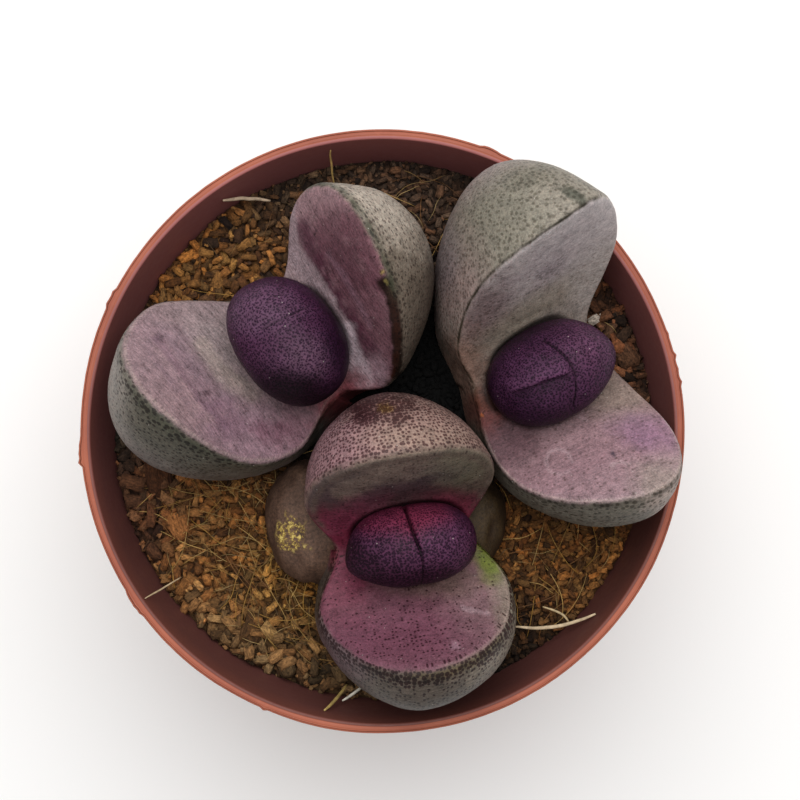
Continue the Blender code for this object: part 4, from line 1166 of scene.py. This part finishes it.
# Places all over the mix, sorted from the largest piece to the smallest; each keeps its distance
# from the larger ones, from the leaves and from the pot's wall. None lies where the mix is finer
# than coarse
def scatterPlaces(rng, count, sizes, leaves, apart, coarse):
    edge = innerRadius(rimHeight - mix["drop"]) - mix["gap"]
    tries = count * 6
    half = np.sort(sizes(rng, tries))[::-1]
    x, y, radius = roundPlaces(rng, tries, edge)
    chunk = blended(partWeights(x, y), "chunk")
    half = half * (0.35 + 0.65 * chunk)
    z = mixHeight(x, y)
    inPot = (radius + half < edge + 0.4) & (rng.random(tries) < 3 * (chunk - coarse))
    chosen = []
    taken = np.zeros((0, 2))
    takenHalf = np.zeros(0)
    for k in np.flatnonzero(inPot):
        if len(chosen) == count:
            break
        gaps = np.hypot(*(taken - (x[k], y[k])).T) - apart * (takenHalf + half[k])
        if len(gaps) and gaps.min() < 0:
            continue
        if tooNear(leaves, (x[k], y[k], z[k] + half[k] * 0.3), half[k] * 0.8):
            continue
        chosen.append(k)
        taken = np.vstack([taken, (x[k], y[k])])
        takenHalf = np.append(takenHalf, half[k])
    return x[chosen], y[chosen], z[chosen], half[chosen]


# True for a point inside a leaf or less than a distance from its skin
def tooNear(leaves, point, distance):
    for tree in leaves:
        spot, normal, _, away = tree.find_nearest([c * mm for c in point], 0.03)
        if spot is None:
            continue
        inside = sum((p * mm - s) * n for p, s, n in zip(point, spot, normal)) < 0
        if inside or away < distance * mm:
            return True
    return False


def makeChips(leaves, finish):
    rng = np.random.default_rng(mix["seed"])

    def even(key):
        return lambda generator, count: generator.uniform(*mix[key], count)

    def mostlySmall(generator, count):
        low, high = mix["chipHalf"]
        return low + (high - low) * generator.beta(1.6, 2.2, count)

    # each kind's name, count, half sizes, distance apart, flatness, block, how high the top ones
    # lie and how coarse the mix is that they need
    for name, count, sizes, apart, flatness, block, lift, coarse in (
            ("bark_chips", mix["barks"], even("barkHalf"), 1.0, (0.55, 0.4), roundBlock(4), 0.3, 1.15),
            ("coir_chips", mix["chips"], mostlySmall, 0.52, (0.48, 0.42), roundBlock(3), 0.7, 0),
            ("coir_crumbs", mix["crumbs"], even("crumbHalf"), 0.4, (0.75, 0.6), roughBlock(), 1.2, 0)):
        x, y, z, half = scatterPlaces(rng, count, sizes, leaves, apart, coarse)
        count = len(x)
        shape = half[:, None] * np.column_stack([np.ones(count),
                                                 flatness[0] * rng.uniform(0.7, 1.35, count),
                                                 flatness[1] * rng.uniform(0.7, 1.3, count)])
        rank = rng.uniform(0, 1, count)
        height = z + lift * half * (0.1 + 0.9 * rank)
        weights = partWeights(x, y)
        share = np.clip(rng.beta(1.5, 1.6, count), 0, 1)[:, None]
        colours = blended(weights, "deep") * (1 - share) + blended(weights, "pale") * share
        # the higher ones are paler and the lower darker, painted shade among the chips; some are redder,
        # some greyer
        hue = rng.uniform(-1, 1, (count, 1))
        colours = colours * (0.4 + 0.9 * rank[:, None]) * (1 - 0.22 * hue * np.array([-0.3, 0.4, 1.0]))
        places = np.column_stack([x, y, height])
        scatteredBlocks(name, rng, block, places, shape, 0.35, colours, finish)
        print(name, count)
    # pale crumbs of perlite that lie together
    places = np.array([crumb[:3] for crumb in mix["perlite"]])
    half = np.array([crumb[3] for crumb in mix["perlite"]])[:, None] * np.array([1, 0.7, 0.6])
    pale = np.tile(linear(mix["perliteTone"]), (len(places), 1))
    scatteredBlocks("perlite_crumbs", rng, roundBlock(3), places, half, 0.5, pale, finish)


# Coir pith and bark: dry, matt, fibrous crumbs. Fine stripes run along each chip, over the painted
# tint, which carries painted shade low in the mix and in the gap between the heads
def coirMaterial():
    made = newMaterial("coirAndBark")
    along = stretched(made, painted(made, "grain", "Vector"), (0.25, 1, 1))
    both = maths(made, "MULTIPLY", noise(made, along, 1 / 0.28, 3.0, 0.7),
                 noise(made, objectPlace(made), 1000 / 0.6, 4.0, 0.7))
    toned = brightened(made, painted(made, "tint", "Color"), remapped(made, both, 0.13, 0.38, 0.3, 1.9))
    return surfaced(made, {"Base Color": toned, "Roughness": 0.88, "Specular IOR Level": 0.25},
                    (both, 1.0, 0.0006))


# Tubes along many paths in one mesh: each path's points carry a ring of corners, square to the
# path, that narrows towards both ends
def tubes(name, paths, radius, sides, flat, tint, finish):
    count, steps = paths.shape[:2]
    forward = unit(np.gradient(paths, axis=1))
    side = unit(np.cross(forward, np.array([0, 0, 1.0])))
    lift = np.cross(side, forward)
    turn = np.linspace(0, 2 * np.pi, sides, endpoint=False)
    t = np.linspace(0, 1, steps)
    taper = (0.35 + 0.65 * np.sin(np.pi * np.clip(t, 0.02, 0.98)) ** 0.5)[None, :, None, None]
    ring = side[:, :, None] * np.cos(turn)[:, None] + lift[:, :, None] * np.sin(turn)[:, None] * flat
    points = paths[:, :, None] + ring * taper * radius[:, None, None, None]
    i, j = np.meshgrid(np.arange(steps - 1), np.arange(sides), indexing="ij")
    k = (j + 1) % sides
    quads = np.stack([i * sides + j, (i + 1) * sides + j, (i + 1) * sides + k, i * sides + k],
                     -1).reshape(-1, 4)
    quads = (quads[None] + np.arange(count)[:, None, None] * steps * sides).reshape(-1, 4).tolist()
    caps = []
    for base in range(0, count * steps * sides, steps * sides):
        caps.append(list(range(base, base + sides)))
        caps.append(list(range(base + steps * sides - 1, base + (steps - 1) * sides - 1, -1)))
    piece = makeMesh(name, points.reshape(-1, 3), quads + caps,
                     {"tint": opaque(np.repeat(tint, steps * sides, 0))})
    return dress(piece, finish, "soil")


# Fibres: each starts at a random place, heads off and bends at a steady rate with a wobble, and
# rises in an arch from the mix and back. Those that would leave the pot or touch a leaf are left out
def makeFibres(leaves, finish):
    rng = np.random.default_rng(mix["seed"] + 1)
    for name, count, radii, lengths, codes in (
            ("coir_fibres", mix["fibres"], mix["fibreRadius"], (5, 19),
             ("9c742e", "744a1c", "b49050")),
            ("fine_hairs", mix["hairs"], mix["hairRadius"], (2, 8), ("8c6c38", "a88c58", "5c4628"))):
        tries = count * 5
        edge = innerRadius(rimHeight - mix["drop"]) - 2.5
        x, y, _ = roundPlaces(rng, tries, edge)
        keep = rng.random(tries) * 1.6 < blended(partWeights(x, y), "fibre")
        x, y = x[keep][:count], y[keep][:count]
        count = len(x)
        steps = 12
        t = np.linspace(-0.5, 0.5, steps)
        length = rng.uniform(*lengths, count)[:, None]
        heading = rng.uniform(0, 2 * np.pi, count)[:, None]
        bend = rng.normal(0, 0.6, count)[:, None]
        wave = rng.normal(0, 0.12, count)[:, None]
        course = heading + bend * t + wave * np.sin(9 * t + heading)
        stepX, stepY = np.cos(course) * length / steps, np.sin(course) * length / steps
        px, py = x[:, None] + np.cumsum(stepX, 1), y[:, None] + np.cumsum(stepY, 1)
        inPot = np.hypot(px, py).max(1) < edge + 1.6
        px, py = px[inPot], py[inPot]
        count = len(px)
        ground = mixHeight(px, py)
        smooth = ground.mean(1, keepdims=True) * 0.7 + ground * 0.3
        arch = rng.uniform(0.3, 1.6, count)[:, None] * np.cos(np.pi * t) ** 0.7
        pz = smooth + 0.5 + arch + rng.uniform(0, 0.7, count)[:, None]
        pz[:, 0], pz[:, -1] = ground[:, 0] + 0.1, ground[:, -1] + rng.uniform(0, 1.2, count)
        paths = np.stack([px, py, pz], -1)
        clear = [k for k in range(count) if not any(
            tooNear(leaves, paths[k, i], 0.1) for i in (0, 3, 6, 9, 11))]
        paths = paths[clear]
        table = np.array([linear(c) for c in codes])
        tint = table[rng.integers(0, len(codes), len(clear))] * rng.uniform(0.7, 1.15, (len(clear), 1))
        tubes(name, paths, rng.uniform(*radii, len(clear)), 5, 1.0, tint, finish)
        print(name, len(clear))


# Straws that show singly, each with the points that it runs through on a smooth curve, its radius,
# how flat it is and its colour
def straw(points, radius, flat, colour):
    return {"points": points, "radius": radius, "flat": flat, "colour": colour}


straws = (
    straw(((23.8, -35.0, 75.0), (30.6, -34.9, 76.4), (37.6, -32.2, 79.8)), 0.34, 0.45, "cdb694"),
    straw(((28.6, -31.4, 75.6), (31.8, -32.6, 76.6), (33.2, -34.2, 76.2)), 0.22, 0.6, "bda67e"),
    straw(((-10.2, -48.9, 82.0), (-8.4, -47.6, 79.0), (-6.4, -45.4, 75.0)), 0.3, 0.6, "b09658"),
    straw(((-7.2, -48.0, 77.0), (-5.2, -46.8, 76.4), (-3.0, -45.2, 75.2)), 0.26, 0.6, "d6d0c0"),
    straw(((-28.2, 40.6, 79.6), (-24.5, 41.2, 77.6), (-20.0, 41.0, 75.8)), 0.34, 0.5, "b49e84"),
    straw(((-9.0, 49.2, 82.4), (-9.1, 47.0, 79.0), (-8.6, 44.0, 75.0)), 0.2, 0.8, "b69658"),
    straw(((-41.2, -29.0, 84.6), (-39.0, -27.9, 80.0), (-36.0, -26.2, 75.6)), 0.16, 0.9, "c4ac88"),
)


def makeStraws(finish):
    for number, one in enumerate(straws):
        a, b, c = np.array(one["points"])
        t = np.linspace(0, 1, 16)[:, None]
        path = a * (1 - t) * (1 - 2 * t) + b * 4 * t * (1 - t) + c * t * (2 * t - 1)
        rng = np.random.default_rng(60 + number)
        path = path + 0.12 * lumps(path + rng.uniform(0, 90, 3), 1.7)[:, None]
        tubes("straw_%d" % (number + 1), path[None], np.array([one["radius"]]), 8, one["flat"],
              linear(one["colour"])[None], finish)


# Coir fibre and straw: woody strands with a silky skin, so they catch a little more light
def fibreMaterial():
    made = newMaterial("coirFibreAndStraw")
    cloudy = noise(made, objectPlace(made), 1000 / 1.1, 3.0)
    toned = brightened(made, painted(made, "tint", "Color"), remapped(made, cloudy, 0.3, 0.7, 0.65, 1.25))
    return surfaced(made, {"Base Color": toned, "Roughness": 0.6})


# Studio: pale floor, one large soft light over the pot that leans in from +Y, and a camera that
# looks straight down from a height over the rim

studio = {
    "camera": (3.07, 5.43), "over": 330.0, "lens": 85.59,
    "light": (10, 320, 900), "lightSize": 950, "power": 9.2, "sky": 0.42,
    "floor": 3000,          # half its side
}


# Matt board: a flat near-white with faint cloudiness
def boardMaterial():
    made = newMaterial("paleMattBoard")
    tone = ramp(made, noise(made, objectPlace(made), 6.0), (0.3, "f4f4f2"), (0.7, "f8f8f7"))
    return surfaced(made, {"Base Color": tone, "Roughness": 0.9, "Specular IOR Level": 0.1})


def makeStudio():
    side = studio["floor"]
    corners = np.array([(-side, -side, 0), (side, -side, 0), (side, side, 0), (-side, side, 0)])
    floor = makeMesh("floor", corners, [[0, 1, 2, 3]])
    floor.data.materials.append(boardMaterial())
    scene = bpy.context.scene
    world = bpy.data.worlds.new("studioSky")
    world.use_nodes = True
    sky = world.node_tree.nodes["Background"].inputs
    sky["Color"].default_value, sky["Strength"].default_value = (1, 1, 1, 1), studio["sky"]
    scene.world = world
    lamp = bpy.data.lights.new("softBox", "AREA")
    lamp.shape = "DISK"
    lamp.size, lamp.energy = studio["lightSize"] * mm, studio["power"]
    box = bpy.data.objects.new("softBox", lamp)
    box.location = np.array(studio["light"]) * mm
    aimX, aimY, aimZ = (np.array([0, 0, rimHeight]) - np.array(studio["light"])) * mm
    box.rotation_euler = (np.arctan2(np.hypot(aimX, aimY), -aimZ), 0, np.arctan2(aimX, -aimY) + np.pi)
    lens = bpy.data.cameras.new("overhead")
    lens.lens, lens.clip_start, lens.clip_end = studio["lens"], 0.01, 20
    camera = bpy.data.objects.new("overhead", lens)
    x, y = studio["camera"]
    camera.location = (x * mm, y * mm, (rimHeight + studio["over"]) * mm)
    scene.collection.objects.link(box)
    scene.collection.objects.link(camera)
    scene.camera = camera
    scene.view_settings.view_transform = "Standard"


# A leaf pair's surface, for finding what lies too near it
def skinTree(piece):
    mesh = piece.data
    return BVHTree.FromPolygons([v.co for v in mesh.vertices], [p.vertices for p in mesh.polygons])


makeStudio()
makePot(potPlastic())
print("pot turned")
youngSkin = leafSkin("youngLeafSkin", skinKinds["young"])
leaves = []
for key, head in heads.items():
    finish = leafSkin(key + "LeafSkin", skinKinds[key])
    leaves.append(skinTree(makeOuterLeaves(key, head, finish)))
    makeYoungPair(key, head, youngSkin)
makeOldLeaves(oldSkin())
print("leaf pairs grown")
coir = coirMaterial()
makeBed(coir)
makeChips(leaves, coir)
strands = fibreMaterial()
makeFibres(leaves, strands)
makeStraws(strands)
print("mix filled")
